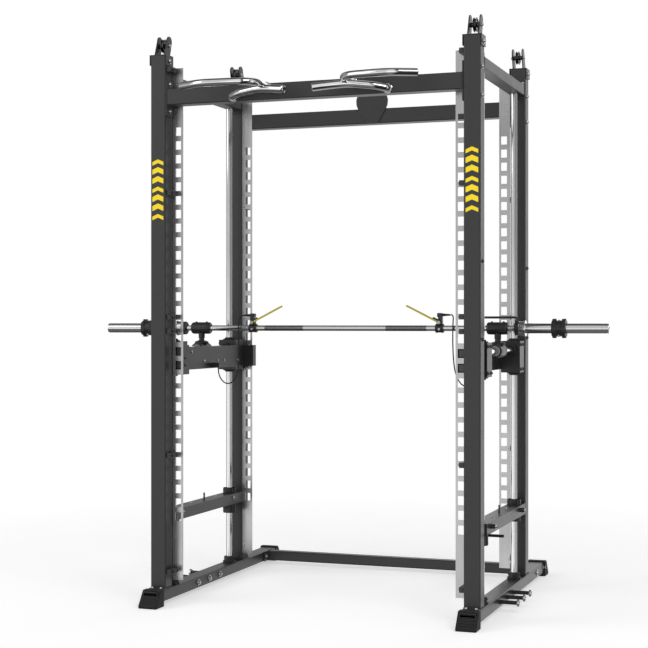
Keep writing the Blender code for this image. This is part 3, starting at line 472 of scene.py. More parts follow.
class Shape:
    """Closed shells, each with its finish, that are gathered for one piece."""

    def __init__(self) -> None:
        """Start with nothing."""
        self.bm = bmesh.new()
        self.finishes: list[Finish] = []

    def take(self, bm: bmesh.types.BMesh, finish: Finish, bevel: float = 0.0) -> "Shape":
        """Add a shell, with its sharp edges rounded.

        Args:
            bm: the shell, which is used up.
            finish: what it is finished with.
            bevel: width of the rounding, or 0.

        Returns:
            This shape.
        """
        bmesh.ops.recalc_face_normals(bm, faces=bm.faces)
        if bevel:
            sharp = [e for e in bm.edges if len(e.link_faces) == 2 and e.calc_face_angle(0) > 0.55]
            bmesh.ops.bevel(bm, geom=sharp, offset=bevel, offset_type="OFFSET", segments=2, profile=0.5,
                            affect="EDGES", clamp_overlap=True)
        if finish not in self.finishes:
            self.finishes.append(finish)
        for face in bm.faces:
            face.material_index = self.finishes.index(finish)
        mesh = bpy.data.meshes.new("shell")
        bm.to_mesh(mesh)
        bm.free()
        self.bm.from_mesh(mesh)
        bpy.data.meshes.remove(mesh)
        return self

    def prism(self, finish: Finish, axis: Axis, outline: Sequence[Pair], reach: Pair,
              hole: Sequence[Pair] | None = None, bevel: float = 0.0008) -> "Shape":
        """Add an outline extruded along an axis.

        Args:
            finish: its finish.
            axis: the direction.
            outline: points in the two other coordinates.
            reach: range along the axis.
            hole: outline of a hole right through, with as many points.
            bevel: rounding of its edges.

        Returns:
            This shape.
        """
        bm = bmesh.new()
        lo, hi = min(reach), max(reach)
        rim = [bm.verts.new(axis.point(lo, *p)) for p in outline]
        if hole is None:
            bm.faces.new(rim)
        else:
            bore = [bm.verts.new(axis.point(lo, *p)) for p in hole]
            for i in range(len(rim)):
                j = (i + 1) % len(rim)
                bm.faces.new((rim[i], rim[j], bore[j], bore[i]))
        new = bmesh.ops.extrude_face_region(bm, geom=bm.faces[:])["geom"]
        moved = [v for v in new if isinstance(v, bmesh.types.BMVert)]
        bmesh.ops.translate(bm, vec=axis.point(hi - lo, 0, 0), verts=moved)
        return self.take(bm, finish, bevel)

    def block(self, finish: Finish, xs: Pair, ys: Pair, zs: Pair, radius: float = 0.003,
              bevel: float = 0.0008) -> "Shape":
        """Add a block with round upright corners between three ranges."""
        outline = round_rect(((xs[0] + xs[1]) / 2, (ys[0] + ys[1]) / 2), abs(xs[1] - xs[0]),
                             abs(ys[1] - ys[0]), radius)
        return self.prism(finish, Axis.Z, outline, zs, None, bevel)

    def lathe(self, finish: Finish, axis: Axis, centre: Pair, profile: Sequence[Pair],
              sides: int = 40) -> "Shape":
        """Add a turned shell.

        Args:
            finish: its finish.
            axis: the direction of the turning axis.
            centre: the axis's two other coordinates.
            profile: (position along the axis, radius) points; if both ends lie on the axis
                it is a solid, and otherwise it closes on itself.
            sides: faces round the shell.

        Returns:
            This shape.
        """
        bm = bmesh.new()
        rings = []
        for along, radius in profile:
            if radius <= 0:
                rings.append([bm.verts.new(axis.point(along, *centre))])
                continue
            rings.append([bm.verts.new(axis.point(along, centre[0] + radius * math.cos(math.tau * i / sides),
                                                  centre[1] + radius * math.sin(math.tau * i / sides)))
                          for i in range(sides)])
        pairs = list(zip(rings, rings[1:]))
        if profile[0][1] > 0:
            pairs.append((rings[-1], rings[0]))
        for a, b in pairs:
            for i in range(sides):
                j = (i + 1) % sides
                corners = [a[i % len(a)], a[j % len(a)], b[j % len(b)], b[i % len(b)]]
                bm.faces.new(list(dict.fromkeys(corners)))
        return self.take(bm, finish)

    def sweep(self, finish: Finish, path: Sequence[Vector], radius: float, sides: int = 20,
              tip: float | None = None) -> "Shape":
        """Add a tube along a path, with domed ends.

        Args:
            finish: its finish.
            path: the centre line.
            radius: the tube's radius at the start.
            sides: faces round it.
            tip: radius at the end, if it tapers.

        Returns:
            This shape.
        """
        bm = bmesh.new()
        last = radius if tip is None else tip
        tangents = [(path[min(i + 1, len(path) - 1)] - path[max(i - 1, 0)]).normalized()
                    for i in range(len(path))]
        frame_x = tangents[0].orthogonal().normalized()
        stations = []
        for i, (point, tangent) in enumerate(zip(path, tangents)):
            frame_x = (frame_x - tangent * frame_x.dot(tangent)).normalized()
            here = radius + (last - radius) * i / (len(path) - 1)
            stations.append((point, tangent, frame_x.copy(), here))
        first, final = stations[0], stations[-1]
        dome = (0.15, 0.6, 0.9)
        head = [(first[0] - first[1] * first[3] * 0.35 * s, first[1], first[2],
                 first[3] * math.sqrt(1 - s * s)) for s in reversed(dome)]
        tail = [(final[0] + final[1] * final[3] * 0.35 * s, final[1], final[2],
                 final[3] * math.sqrt(1 - s * s)) for s in dome]
        rings = []
        for point, tangent, across, here in head + stations + tail:
            up = tangent.cross(across)
            rings.append([bm.verts.new(point + (across * math.cos(a) + up * math.sin(a)) * here)
                          for a in (math.tau * k / sides for k in range(sides))])
        for a, b in zip(rings, rings[1:]):
            for k in range(sides):
                j = (k + 1) % sides
                bm.faces.new((a[k], a[j], b[j], b[k]))
        bm.faces.new(rings[0])
        bm.faces.new(rings[-1])
        return self.take(bm, finish)

    def node(self, finish: Finish, name: str, bevel: float = 0.001) -> "Shape":
        """Add a copy of a CAD node with its flats cleaned and its edges rounded."""
        bm = bmesh.new()
        bm.from_mesh(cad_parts[name].data)
        bmesh.ops.remove_doubles(bm, verts=bm.verts, dist=0.00001)
        bmesh.ops.dissolve_limit(bm, angle_limit=math.radians(1.5), verts=bm.verts, edges=bm.edges)
        return self.take(bm, finish, bevel)

    @staticmethod
    def _harden(obj: bpy.types.Object) -> None:
        """Keep the flats flat where they meet rounded edges, as plain custom normals."""
        modifier = obj.modifiers.new("flat_faces", "WEIGHTED_NORMAL")
        modifier.keep_sharp = True
        modifier.weight = 100
        plain = obj.data
        obj.data = bpy.data.meshes.new_from_object(
            obj.evaluated_get(bpy.context.evaluated_depsgraph_get()))
        obj.modifiers.clear()
        bpy.data.meshes.remove(plain)
        obj.data.name = obj.name

    def piece(self, name: str, body: str, slot: Slot | None = None, replaces: Iterable[str] = ()
              ) -> bpy.types.Object:
        """Make the gathered shells one piece that rides on a body.

        Args:
            name: the piece's name.
            body: the CAD body that it moves with, or nothing if it is handled later.
            slot: not used.
            replaces: CAD nodes that it stands for.

        Returns:
            The piece's object.
        """
        mesh = bpy.data.meshes.new(name)
        self.bm.to_mesh(mesh)
        self.bm.free()
        for finish in self.finishes:
            mesh.materials.append(finish.material())
        mesh.shade_smooth()
        mesh.set_sharp_from_angle(angle=SHARP_ANGLE)
        obj = bpy.data.objects.new(name, mesh)
        bpy.context.collection.objects.link(obj)
        self._harden(obj)
        if replaces:
            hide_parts(*replaces)
        if body:
            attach(obj, body)
        LOG.info("%s: %d faces, rides on %s", name, len(obj.data.polygons), body or "two bodies")
        return obj


# ---------------------------------------------------------------- geometry node tools
def grow(obj: bpy.types.Object, tree: bpy.types.NodeTree, values: dict[str, Any]) -> None:
    """Run a geometry tree on an object and keep its result as the object's plain mesh.

    Args:
        obj: the carrier.
        tree: the geometry tree.
        values: the tree's inputs by name.
    """
    modifier = obj.modifiers.new(tree.name, "NODES")
    modifier.node_group = tree
    for item in tree.interface.items_tree:
        if item.item_type == "SOCKET" and item.in_out == "INPUT" and item.name in values:
            modifier[item.identifier] = values[item.name]
    carrier = obj.data
    made = bpy.data.meshes.new_from_object(obj.evaluated_get(bpy.context.evaluated_depsgraph_get()))
    obj.modifiers.remove(modifier)
    obj.data = made
    made.name = obj.name
    bpy.data.meshes.remove(carrier)


def carrier_object(name: str, points: Sequence[Vector], edges: Sequence[tuple[int, int]] = ()
                   ) -> bpy.types.Object:
    """Object of loose points and edges that a geometry tree grows on."""
    mesh = bpy.data.meshes.new(name)
    mesh.from_pydata([tuple(p) for p in points], list(edges), [])
    obj = bpy.data.objects.new(name, mesh)
    bpy.context.collection.objects.link(obj)
    return obj


def settle(obj: bpy.types.Object, body: str) -> None:
    """Shade a grown piece and let it ride on its body."""
    obj.data.shade_smooth()
    obj.data.set_sharp_from_angle(angle=SHARP_ANGLE)
    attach(obj, body)
    LOG.info("%s: %d faces, rides on %s", obj.name, len(obj.data.polygons), body)


class Head(Enum):
    """Kinds of fastener."""
    BUTTON = "button"
    HEX = "hex"


@dataclass
class Fasteners:
    """Bolts and nuts of one body, put in place by one geometry tree."""
    body: str
    finish: Finish
    head: Head
    radius: float = 0.0075
    spots: list[tuple[Vector, Vector, float]] = field(default_factory=list)

    def add(self, at: Sequence[float], facing: Sequence[float], size: float = 1.0) -> None:
        """Add a fastener at a point of a face, looking along the face's normal."""
        self.spots.append((Vector(at), Vector(facing), size))

    def _template(self) -> bpy.types.Object:
        """Washer and head of radius 1 about Z, standing on the origin."""
        shape = Shape()
        shape.lathe(self.finish, Axis.Z, (0, 0), [(-0.05, 0), (-0.05, 1.42), (0.16, 1.42), (0.24, 1.34),
                                                   (0.24, 0)], 20)
        if self.head is Head.BUTTON:
            shape.lathe(self.finish, Axis.Z, (0, 0), [
                (0.2, 0), (0.2, 1.0), (0.55, 0.97), (0.88, 0.78), (1.02, 0.52), (0.98, 0.46),
                (0.5, 0.44), (0.5, 0)], 18)
        else:
            outline = [(math.cos(a), math.sin(a)) for a in (math.tau * i / 6 for i in range(6))]
            shape.prism(self.finish, Axis.Z, outline, (0.2, 0.85), None, 0.07)
            shape.lathe(self.finish, Axis.Z, (0, 0), [(0.5, 0), (0.5, 0.52), (1.08, 0.52), (1.16, 0.44),
                                                       (1.16, 0)], 14)
        mesh = bpy.data.meshes.new("fastener_template")
        shape.bm.to_mesh(mesh)
        shape.bm.free()
        obj = bpy.data.objects.new("fastener_template", mesh)
        bpy.context.collection.objects.link(obj)
        return obj

    @staticmethod
    def tree() -> bpy.types.NodeTree:
        """Geometry tree that stands a template on every point, turned to its facing."""
        if "stand_fasteners" in bpy.data.node_groups:
            return bpy.data.node_groups["stand_fasteners"]
        graph, start, end = new_group("stand_fasteners", "GeometryNodeTree", (
            ("Geometry", "NodeSocketGeometry", None), ("Head", "NodeSocketObject", None),
            ("Head Radius", FLOAT, 0.0075), ("Finish", "NodeSocketMaterial", None)),
            (("Geometry", "NodeSocketGeometry"),))
        head = graph.add("GeometryNodeObjectInfo", {"Object": start.outputs["Head"]})
        facing = graph.add("GeometryNodeInputNamedAttribute", {"Name": "facing"}, data_type="FLOAT_VECTOR")
        size = graph.add("GeometryNodeInputNamedAttribute", {"Name": "size"}, data_type="FLOAT")
        turn = graph.add("FunctionNodeAlignRotationToVector", {"Vector": facing.outputs["Attribute"]},
                         axis="Z")
        scale = graph.math("MULTIPLY", size.outputs["Attribute"], start.outputs["Head Radius"])
        stand = graph.add("GeometryNodeInstanceOnPoints", {
            "Points": start.outputs["Geometry"], "Instance": head.outputs["Geometry"],
            "Rotation": turn.outputs[0], "Scale": scale})
        real = graph.add("GeometryNodeRealizeInstances", {0: stand.outputs[0]})
        painted = graph.add("GeometryNodeSetMaterial", {"Geometry": real.outputs[0],
                                                        "Material": start.outputs["Finish"]})
        graph.tree.links.new(painted.outputs[0], end.inputs[0])
        return graph.tree

    def build(self, name: str) -> None:
        """Grow all the fasteners as one piece."""
        obj = carrier_object(name, [spot[0] for spot in self.spots])
        attributes = obj.data.attributes
        attributes.new("facing", "FLOAT_VECTOR", "POINT")
        attributes.new("size", "FLOAT", "POINT")
        for i, (_, way, share) in enumerate(self.spots):
            attributes["facing"].data[i].vector = way
            attributes["size"].data[i].value = share
        template = self._template()
        grow(obj, self.tree(), {"Head": template, "Head Radius": self.radius,
                                "Finish": self.finish.material()})
        bpy.data.objects.remove(template)
        settle(obj, self.body)


@dataclass
class Welds:
    """Weld beads of one body along closed loops of points."""
    body: str
    finish: Finish
    bead: float = 0.0028
    loops: list[list[Vector]] = field(default_factory=list)

    def around_box(self, axis: Axis, centre: Pair, width: float, height: float, at: float) -> None:
        """Bead round a rectangular tube where it meets a plate."""
        outline = round_rect(centre, width, height, 0.006, 3)
        self.loops.append([axis.point(at, *p) for p in outline])

    def around_rod(self, axis: Axis, centre: Pair, radius: float, at: float) -> None:
        """Bead round a rod where it meets a face."""
        self.loops.append([axis.point(at, centre[0] + radius * math.cos(a), centre[1] + radius * math.sin(a))
                           for a in (math.tau * i / 16 for i in range(16))])

    @staticmethod
    def tree() -> bpy.types.NodeTree:
        """Geometry tree that lays overlapping scales along a line."""
        graph, start, end = new_group("lay_beads", "GeometryNodeTree", (
            ("Geometry", "NodeSocketGeometry", None),
            ("Spacing", FLOAT, 0.003), ("Bead Radius", FLOAT, 0.003),
            ("Finish", "NodeSocketMaterial", None)), (("Geometry", "NodeSocketGeometry"),))
        curve = graph.add("GeometryNodeMeshToCurve", {"Mesh": start.outputs["Geometry"]})
        points = graph.add("GeometryNodeCurveToPoints", {"Curve": curve.outputs[0],
                                                         "Length": start.outputs["Spacing"]}, mode="LENGTH")
        scale = graph.add("GeometryNodeMeshIcoSphere", {"Radius": start.outputs["Bead Radius"],
                                                        "Subdivisions": 2})
        wobble = graph.add("FunctionNodeRandomValue", {"Min": (0.85, 0.85, 0.5), "Max": (1.1, 1.1, 0.8),
                                                       "Seed": 7}, data_type="FLOAT_VECTOR")
        laid = graph.add("GeometryNodeInstanceOnPoints", {
            "Points": points.outputs[0], "Instance": scale.outputs["Mesh"],
            "Rotation": points.outputs["Rotation"], "Scale": wobble.outputs["Value"]})
        real = graph.add("GeometryNodeRealizeInstances", {0: laid.outputs[0]})
        painted = graph.add("GeometryNodeSetMaterial", {"Geometry": real.outputs[0],
                                                        "Material": start.outputs["Finish"]})
        graph.tree.links.new(painted.outputs[0], end.inputs[0])
        return graph.tree

    def build(self, name: str) -> None:
        """Grow all the beads as one piece."""
        points: list[Vector] = []
        edges: list[tuple[int, int]] = []
        for loop in self.loops:
            first = len(points)
            points += loop
            edges += [(first + i, first + (i + 1) % len(loop)) for i in range(len(loop))]
        obj = carrier_object(name, points, edges)
        grow(obj, self.tree(), {"Spacing": self.bead * 0.95, "Bead Radius": self.bead,
                                "Finish": self.finish.material()})
        settle(obj, self.body)


# ---------------------------------------------------------------- places
@dataclass(frozen=True)
class Layout:
    """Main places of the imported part, read from its nodes."""
    face: float
    side: float
    tube: float
    rail_low: float
    rail_top: float
    top: float
    guide_front: float
    guide_rear: float
    rear_face: float
    beam_z: float
    bar_y: float
    bar_z: float
    rod_z: float
    pawl_z: float

    @classmethod
    def read(cls) -> "Layout":
        """Measure the CAD nodes.

        Returns:
            The layout.
        """
        beam, rear_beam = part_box("front_top_beam"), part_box("rear_top_beam")
        guide, rear_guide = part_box("guide_rod_front_right"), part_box("guide_rod_rear_right")
        rail, sleeve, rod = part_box("base_rail_right"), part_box("sleeve_right"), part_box("cross_rod_right")
        return cls(
            face=beam[0].y, side=(guide[0].x + guide[1].x) / 2, tube=beam[1].y - beam[0].y,
            rail_low=rail[0].z, rail_top=rail[1].z, top=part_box("front_upright_right")[1].z,
            guide_front=(guide[0].y + guide[1].y) / 2, guide_rear=(rear_guide[0].y + rear_guide[1].y) / 2,
            rear_face=rear_beam[1].y, beam_z=(beam[0].z + beam[1].z) / 2,
            bar_y=(sleeve[0].y + sleeve[1].y) / 2, bar_z=(sleeve[0].z + sleeve[1].z) / 2,
            rod_z=(rod[0].z + rod[1].z) / 2, pawl_z=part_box("pawls_right")[1].z - PAWL_HALF)

    @property
    def inner(self) -> float:
        """Distance from the middle to the side frames' inner faces."""
        return self.side - self.tube / 2

    @property
    def outer(self) -> float:
        """Distance from the middle to the side frames' outer faces."""
        return self.side + self.tube / 2

    def upright_y(self, place: str) -> float:
        """Centre plane of the front or the rear uprights."""
        return self.face + self.tube / 2 if place == "front" else self.rear_face - self.tube / 2


ENDS = (("front", -1), ("rear", 1))


# ---------------------------------------------------------------- rack
@dataclass
class Rack:
    """Uprights, rails, beams, plates and guide rods: everything that stands still."""
    at: Layout
    wall: float = 0.003
    corner: float = 0.006
    flange: float = 0.006
    flange_h: float = 0.163
    stand_w: float = 0.022
    stand_l: float = 0.060
    stand_z: tuple[float, ...] = (2.323, 0.144, 1.7875, 1.2475, 1.1875, 0.6475)
    peg_y: tuple[float, ...] = (-0.224513, -0.103513, 0.017487)
    bright: Fasteners = field(default_factory=lambda: Fasteners("frame", ZINC, Head.BUTTON))
    nuts: Fasteners = field(default_factory=lambda: Fasteners("frame", ZINC, Head.HEX, 0.0085))
    dark: Fasteners = field(default_factory=lambda: Fasteners("frame", DARK_BOLT, Head.BUTTON))
    welds: Welds = field(default_factory=lambda: Welds("frame", PAINT))

    def build(self) -> None:
        """Build the whole rack, then its fasteners and welds."""
        self._cross_beams()
        for name, side in SIDES:
            self._rail(name, side)
            self._side_beam(name, side)
            self._plates(name)
            self._guides(name, side)
            for place, way in ENDS:
                self._upright(name, side, place, way)
                self._foot(name, side, place, way)
        self.bright.build("bright_bolts")
        self.nuts.build("hex_nuts")
        self.dark.build("dark_bolts")
        self.welds.build("weld_beads")

    def _upright(self, name: str, side: int, place: str, way: int) -> None:
        """Square tube with its base plate and the brackets of its slotted plate."""
        at, y = self.at, self.at.upright_y(place)
        x, half = side * at.side, at.tube / 2
        base = at.rail_top + 0.0003
        shape = Shape()
        shape.prism(PAINT, Axis.Z, round_rect((x, y), at.tube, at.tube, self.corner), (base + 0.003, at.top),
                    round_rect((x, y), at.tube - 2 * self.wall, at.tube - 2 * self.wall,
                               self.corner - self.wall), 0.0)
        inner, outer = y - way * half, y + way * (half + 0.024)
        shape.block(PAINT, (x - half, x + half), (min(inner, outer), max(inner, outer)),
                    (base, base + 0.006), 0.006, 0.0012)
        for z in self.stand_z:
            ys = sorted((inner, inner + way * self.stand_l))
            shape.block(PAINT, span(side, at.inner - self.stand_w, at.inner + 0.001), (ys[0], ys[1]),
                        around(z, self.stand_w), 0.004, 0.001)
            self.dark.add((side * (at.inner - self.stand_w), inner + way * 0.040, z), (-side, 0, 0), 0.75)
            self.bright.add((side * (at.inner - 0.0075), inner - way * 0.0043, z), (0, -way, 0), 0.55)
        shape.piece(f"{place}_upright_{name}_tube", "frame", None, [f"{place}_upright_{name}"])
        self.welds.around_box(Axis.Z, (x, y), at.tube, at.tube, base + 0.006)
        for dx in (-0.021, 0.021):
            self.bright.add((x + dx, y + way * (half + 0.011), base + 0.006), (0, 0, 1), 0.85)
        for z in (1.155, 1.472):
            self.dark.add((side * at.outer, y, z), (side, 0, 0), 0.9)
        for z in (at.beam_z - 0.0585, at.beam_z + 0.0585):
            self.bright.add((side * at.outer, y, z), (side, 0, 0))

    def _rail(self, name: str, side: int) -> None:
        """Floor rail with its three storage pegs."""
        at = self.at
        lo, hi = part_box(f"base_rail_{name}")
        x, z = side * at.side, (at.rail_low + at.rail_top) / 2
        height = at.rail_top - at.rail_low
        shape = Shape()
        shape.prism(PAINT, Axis.Y, round_rect((x, z), at.tube, height, self.corner), (lo.y, hi.y),
                    round_rect((x, z), at.tube - 2 * self.wall, height - 2 * self.wall,
                               self.corner - self.wall), 0.0)
        for y in self.peg_y:
            root, neck, tip = at.outer - 0.0015, at.outer + 0.075, at.outer + 0.085
            stem = [(root, 0), (root, 0.0085), (neck + 0.001, 0.0085), (neck + 0.001, 0)]
            disc = [(neck, 0), (neck, 0.0135), (neck + 0.0015, 0.015), (tip - 0.002, 0.015),
                    (tip - 0.0006, 0.0142), (tip, 0.0128), (tip, 0.0095),
                    (tip - 0.002, 0.0085), (tip - 0.002, 0)]
            shape.lathe(BLACK, Axis.X, (y, z), [(side * p, r) for p, r in stem], 32)
            shape.lathe(ZINC, Axis.X, (y, z), [(side * p, r) for p, r in disc], 32)
            self.welds.around_rod(Axis.X, (y, z), 0.0085, side * at.outer)
            self.nuts.add((side * at.inner, y, z), (-side, 0, 0), 1.15)
        shape.piece(f"floor_rail_{name}", "frame", None, [f"base_rail_{name}"])
        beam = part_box("floor_cross_beam")
        middle = (beam[0].y + beam[1].y) / 2
        for dy in (-0.050, 0.050):
            self.nuts.add((side * (at.inner - 0.0063), middle + dy, z), (-side, 0, 0), 0.9)
        for dy in (-0.080, 0.085):
            self.bright.add((side * at.outer, middle + dy, z), (side, 0, 0), 1.35)

    def _foot(self, name: str, side: int, place: str, way: int) -> None:
        """Rubber end cap with tread ribs on its slope."""
        node = f"foot_{place}_{name}"
        lo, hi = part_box(node)
        tip = hi.y if way > 0 else lo.y
        shape = Shape()
        shape.node(RUBBER, node, 0.0030)
        slope = Vector((0, -way * 0.045, 0.062)).normalized()
        foot = Vector((side * self.at.side, tip, 0.012))
        for i in range(5):
            spot = foot + slope * (0.012 + 0.012 * i)
            ends = [spot + Vector((s * 0.032, 0, 0)) for s in (-1, 1)]
            shape.sweep(RUBBER, [ends[0], ends[1]], 0.0022, 8)
        shape.piece(f"end_cap_{place}_{name}", "frame", None, [node])

    def _flanged(self, shape: Shape, axis: Axis, centre: Pair, size: Pair, reach: Pair,
                 plate: Pair) -> None:
        """Add a rectangular tube with a round-cornered plate at both ends.

        Args:
            shape: what it is added to.
            axis: direction of the tube.
            centre: the tube's middle in the two other coordinates.
            size: the tube's width and height.
            reach: range along the axis.
            plate: width and height of the plates.
        """
        tube = round_rect(centre, size[0], size[1], self.corner)
        bore = round_rect(centre, size[0] - 2 * self.wall, size[1] - 2 * self.wall, self.corner - self.wall)
        shape.prism(PAINT, axis, tube, reach, bore, 0.0)
        outline = round_rect(centre, plate[0], plate[1], 0.007)
        for end, way in ((reach[0], 1), (reach[1], -1)):
            shape.prism(PAINT, axis, outline, (end, end + way * self.flange), bore, 0.0009)
            self.welds.around_box(axis, centre, size[0], size[1], end + way * self.flange)

    def _cross_beams(self) -> None:
        """Floor beam, front top beam and rear top beam with its crown plate."""
        at = self.at
        half = at.inner - 0.0003
        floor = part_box("floor_cross_beam")
        centre = ((floor[0].y + floor[1].y) / 2, (at.rail_low + at.rail_top) / 2)
        shape = Shape()
        self._flanged(shape, Axis.X, centre, (0.050, 0.048), (-half, half), (0.146, 0.050))
        shape.piece("floor_beam", "frame", None, ["floor_cross_beam"])
        for place in ("front", "rear"):
            y = at.upright_y(place)
            shape = Shape()
            self._flanged(shape, Axis.X, (y, at.beam_z), (at.tube, 0.070), (-half, half),
                          (at.tube - 0.002, self.flange_h))
            if place == "rear":
                self._crown(shape, y)
            shape.piece(f"{place}_header_beam", "frame", None, [f"{place}_top_beam"])
            for _, side in SIDES:
                for dz in (-0.0585, 0.0585):
                    self.bright.add((side * (half - self.flange), y, at.beam_z + dz), (-side, 0, 0))

    def _crown(self, shape: Shape, y: float) -> None:
        """Shield-shaped plate on the front face of the rear beam."""
        low = self.at.beam_z - 0.035
        half = [(0.070, 0.132), (0.0755, 0.121), (0.078, 0.110), (0.0775, 0.097), (0.076, 0.085),
                (0.067, 0.064), (0.050, 0.040), (0.036, 0.012), (0.024, -0.002)]
        outline = [(x, low + z) for x, z in half] + [(-x, low + z) for x, z in reversed(half)]
        face = y - self.at.tube / 2
        shape.prism(PAINT, Axis.Y, outline, (face - 0.006, face + 0.001), None, 0.0012)

    def _side_beam(self, name: str, side: int) -> None:
        """Top beam between the two uprights of a side."""
        lo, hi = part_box(f"top_side_beam_{name}")
        centre = (side * self.at.side, (lo.z + hi.z) / 2)
        shape = Shape()
        self._flanged(shape, Axis.Y, centre, (self.at.tube - 0.004, 0.048), (lo.y, hi.y),
                      (self.at.tube - 0.002, hi.z - lo.z))
        shape.piece(f"side_header_{name}", "frame", None, [f"top_side_beam_{name}"])
        for y, way in ((lo.y + self.flange, 1), (hi.y - self.flange, -1)):
            for dx in (-0.024, 0.024):
                self.bright.add((centre[0] + dx, y, hi.z - 0.0075), (0, way, 0), 0.55)

    def _plates(self, name: str) -> None:
        """Slotted plates with broken edges."""
        for place, _ in ENDS:
            node = f"slotted_plate_{place}_{name}"
            shape = Shape()
            shape.node(PLATE_STEEL, node, 0.0005)
            shape.piece(f"lock_plate_{place}_{name}", "frame", None, [node])

    def _guides(self, name: str, side: int) -> None:
        """Chromed guide rods, each in a clamp collar at its foot."""
        for place, y in (("front", self.at.guide_front), ("rear", self.at.guide_rear)):
            node = f"guide_rod_{place}_{name}"
            lo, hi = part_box(node)
            centre, low, rise = (side * self.at.side, y), lo.z, 0.030
            rod = Shape()
            rod.lathe(UPRIGHT_CHROME, Axis.Z, centre, [
                (low, 0), (low, 0.015), (hi.z, 0.015), (hi.z, 0)], 48)
            rod.piece(f"guide_rod_{place}_{name}_shaft", "frame", None, [node])
            collar = Shape()
            collar.lathe(CLAMP_BLACK, Axis.Z, centre, [
                (low, 0.0152), (low, 0.031), (low + 0.008, 0.031), (low + 0.0095, 0.0295),
                (low + 0.0095, 0.0255), (low + rise - 0.0015, 0.0250), (low + rise, 0.0235),
                (low + rise, 0.0152)], 40)
            collar.piece(f"guide_collar_{place}_{name}", "frame", Slot.ALLOY)
            for dx, dy in ((-1, 0), (1, 0)):
                self.dark.add((centre[0] + dx * 0.0253, y + dy * 0.0253, low + 0.020), (dx, dy, 0), 0.45)


@dataclass
class UprightDecals:
    """Yellow chevron strip on the front of both front uprights."""
    at: Layout
    low: float = 1.668
    high: float = 1.944
    width: float = 0.052
    count: int = 7

    def build(self) -> None:
        """Cut the strip into slanted blocks that point upwards by turns."""
        pitch = (self.high - self.low) / self.count
        for name, side in SIDES:
            shape = Shape()
            x, half = side * self.at.side, self.width / 2
            for i in range(self.count):
                z, rise = self.low + i * pitch, pitch * 0.28
                body = pitch * (0.56 if i % 3 else 0.40)
                outline = [(x - half, z), (x, z + rise), (x + half, z), (x + half, z + body),
                           (x, z + rise + body), (x - half, z + body)]
                shape.prism(DECAL_YELLOW, Axis.Y, outline, (self.at.face - 0.0006, self.at.face - 0.0001),
                            None, 0.0)
            shape.piece(f"chevron_decal_{name}", "frame", Slot.YELLOW)


@dataclass
class PullUpGrips:
    """Crossed grip tubes on the front top beam."""
    at: Layout
    radius: float = 0.016
    bend: float = 0.040
    wide: tuple[Point, ...] = (
        (0.191, 0.0, 0.053), (0.191, -0.040, 0.053), (0.186, -0.110, 0.056), (0.225, -0.160, 0.055),
        (0.310, -0.188, 0.052), (0.385, -0.205, 0.050), (0.430, -0.192, 0.051), (0.512, -0.150, 0.052))
    narrow: tuple[Point, ...] = (
        (0.343, 0.0, 0.019), (0.343, -0.016, 0.019), (0.300, -0.044, 0.027), (0.200, -0.080, 0.035),
        (0.130, -0.105, 0.028), (0.064, -0.133, 0.018))

    def build(self) -> None:
        """Bend the tubes, and add the weld at their roots."""
        low = self.at.beam_z - 0.035
        welds = Welds("frame", GRIP_CHROME, 0.0022)
        for name, side in SIDES:
            shape = Shape()
            for route in (self.wide, self.narrow):
                points = [Vector((side * x, self.at.face + y - 0.0006, low + z)) for x, y, z in route]
                path = rounded_path(points, self.bend, 8)
                shape.sweep(GRIP_CHROME, path, self.radius, 32)
                root = points[0]
                shape.lathe(GRIP_CHROME, Axis.Y, (root.x, root.z), [
                    (root.y, 0.012), (root.y, 0.0215), (root.y - 0.003, 0.0215), (root.y - 0.0045, 0.0195),
                    (root.y - 0.0045, 0.012)], 32)
                welds.around_rod(Axis.Y, (root.x, root.z), self.radius, root.y - 0.0050)
                end, before = path[-1], path[-2]
                way = (end - before).normalized()
                shape.sweep(RUBBER, [end - way * 0.001, end + way * 0.0012], self.radius * 0.80, 32)
            shape.piece(f"grip_tubes_{name}", "frame", Slot.CHROME, [f"pull_up_grip_{name}"])
        welds.build("grip_welds")


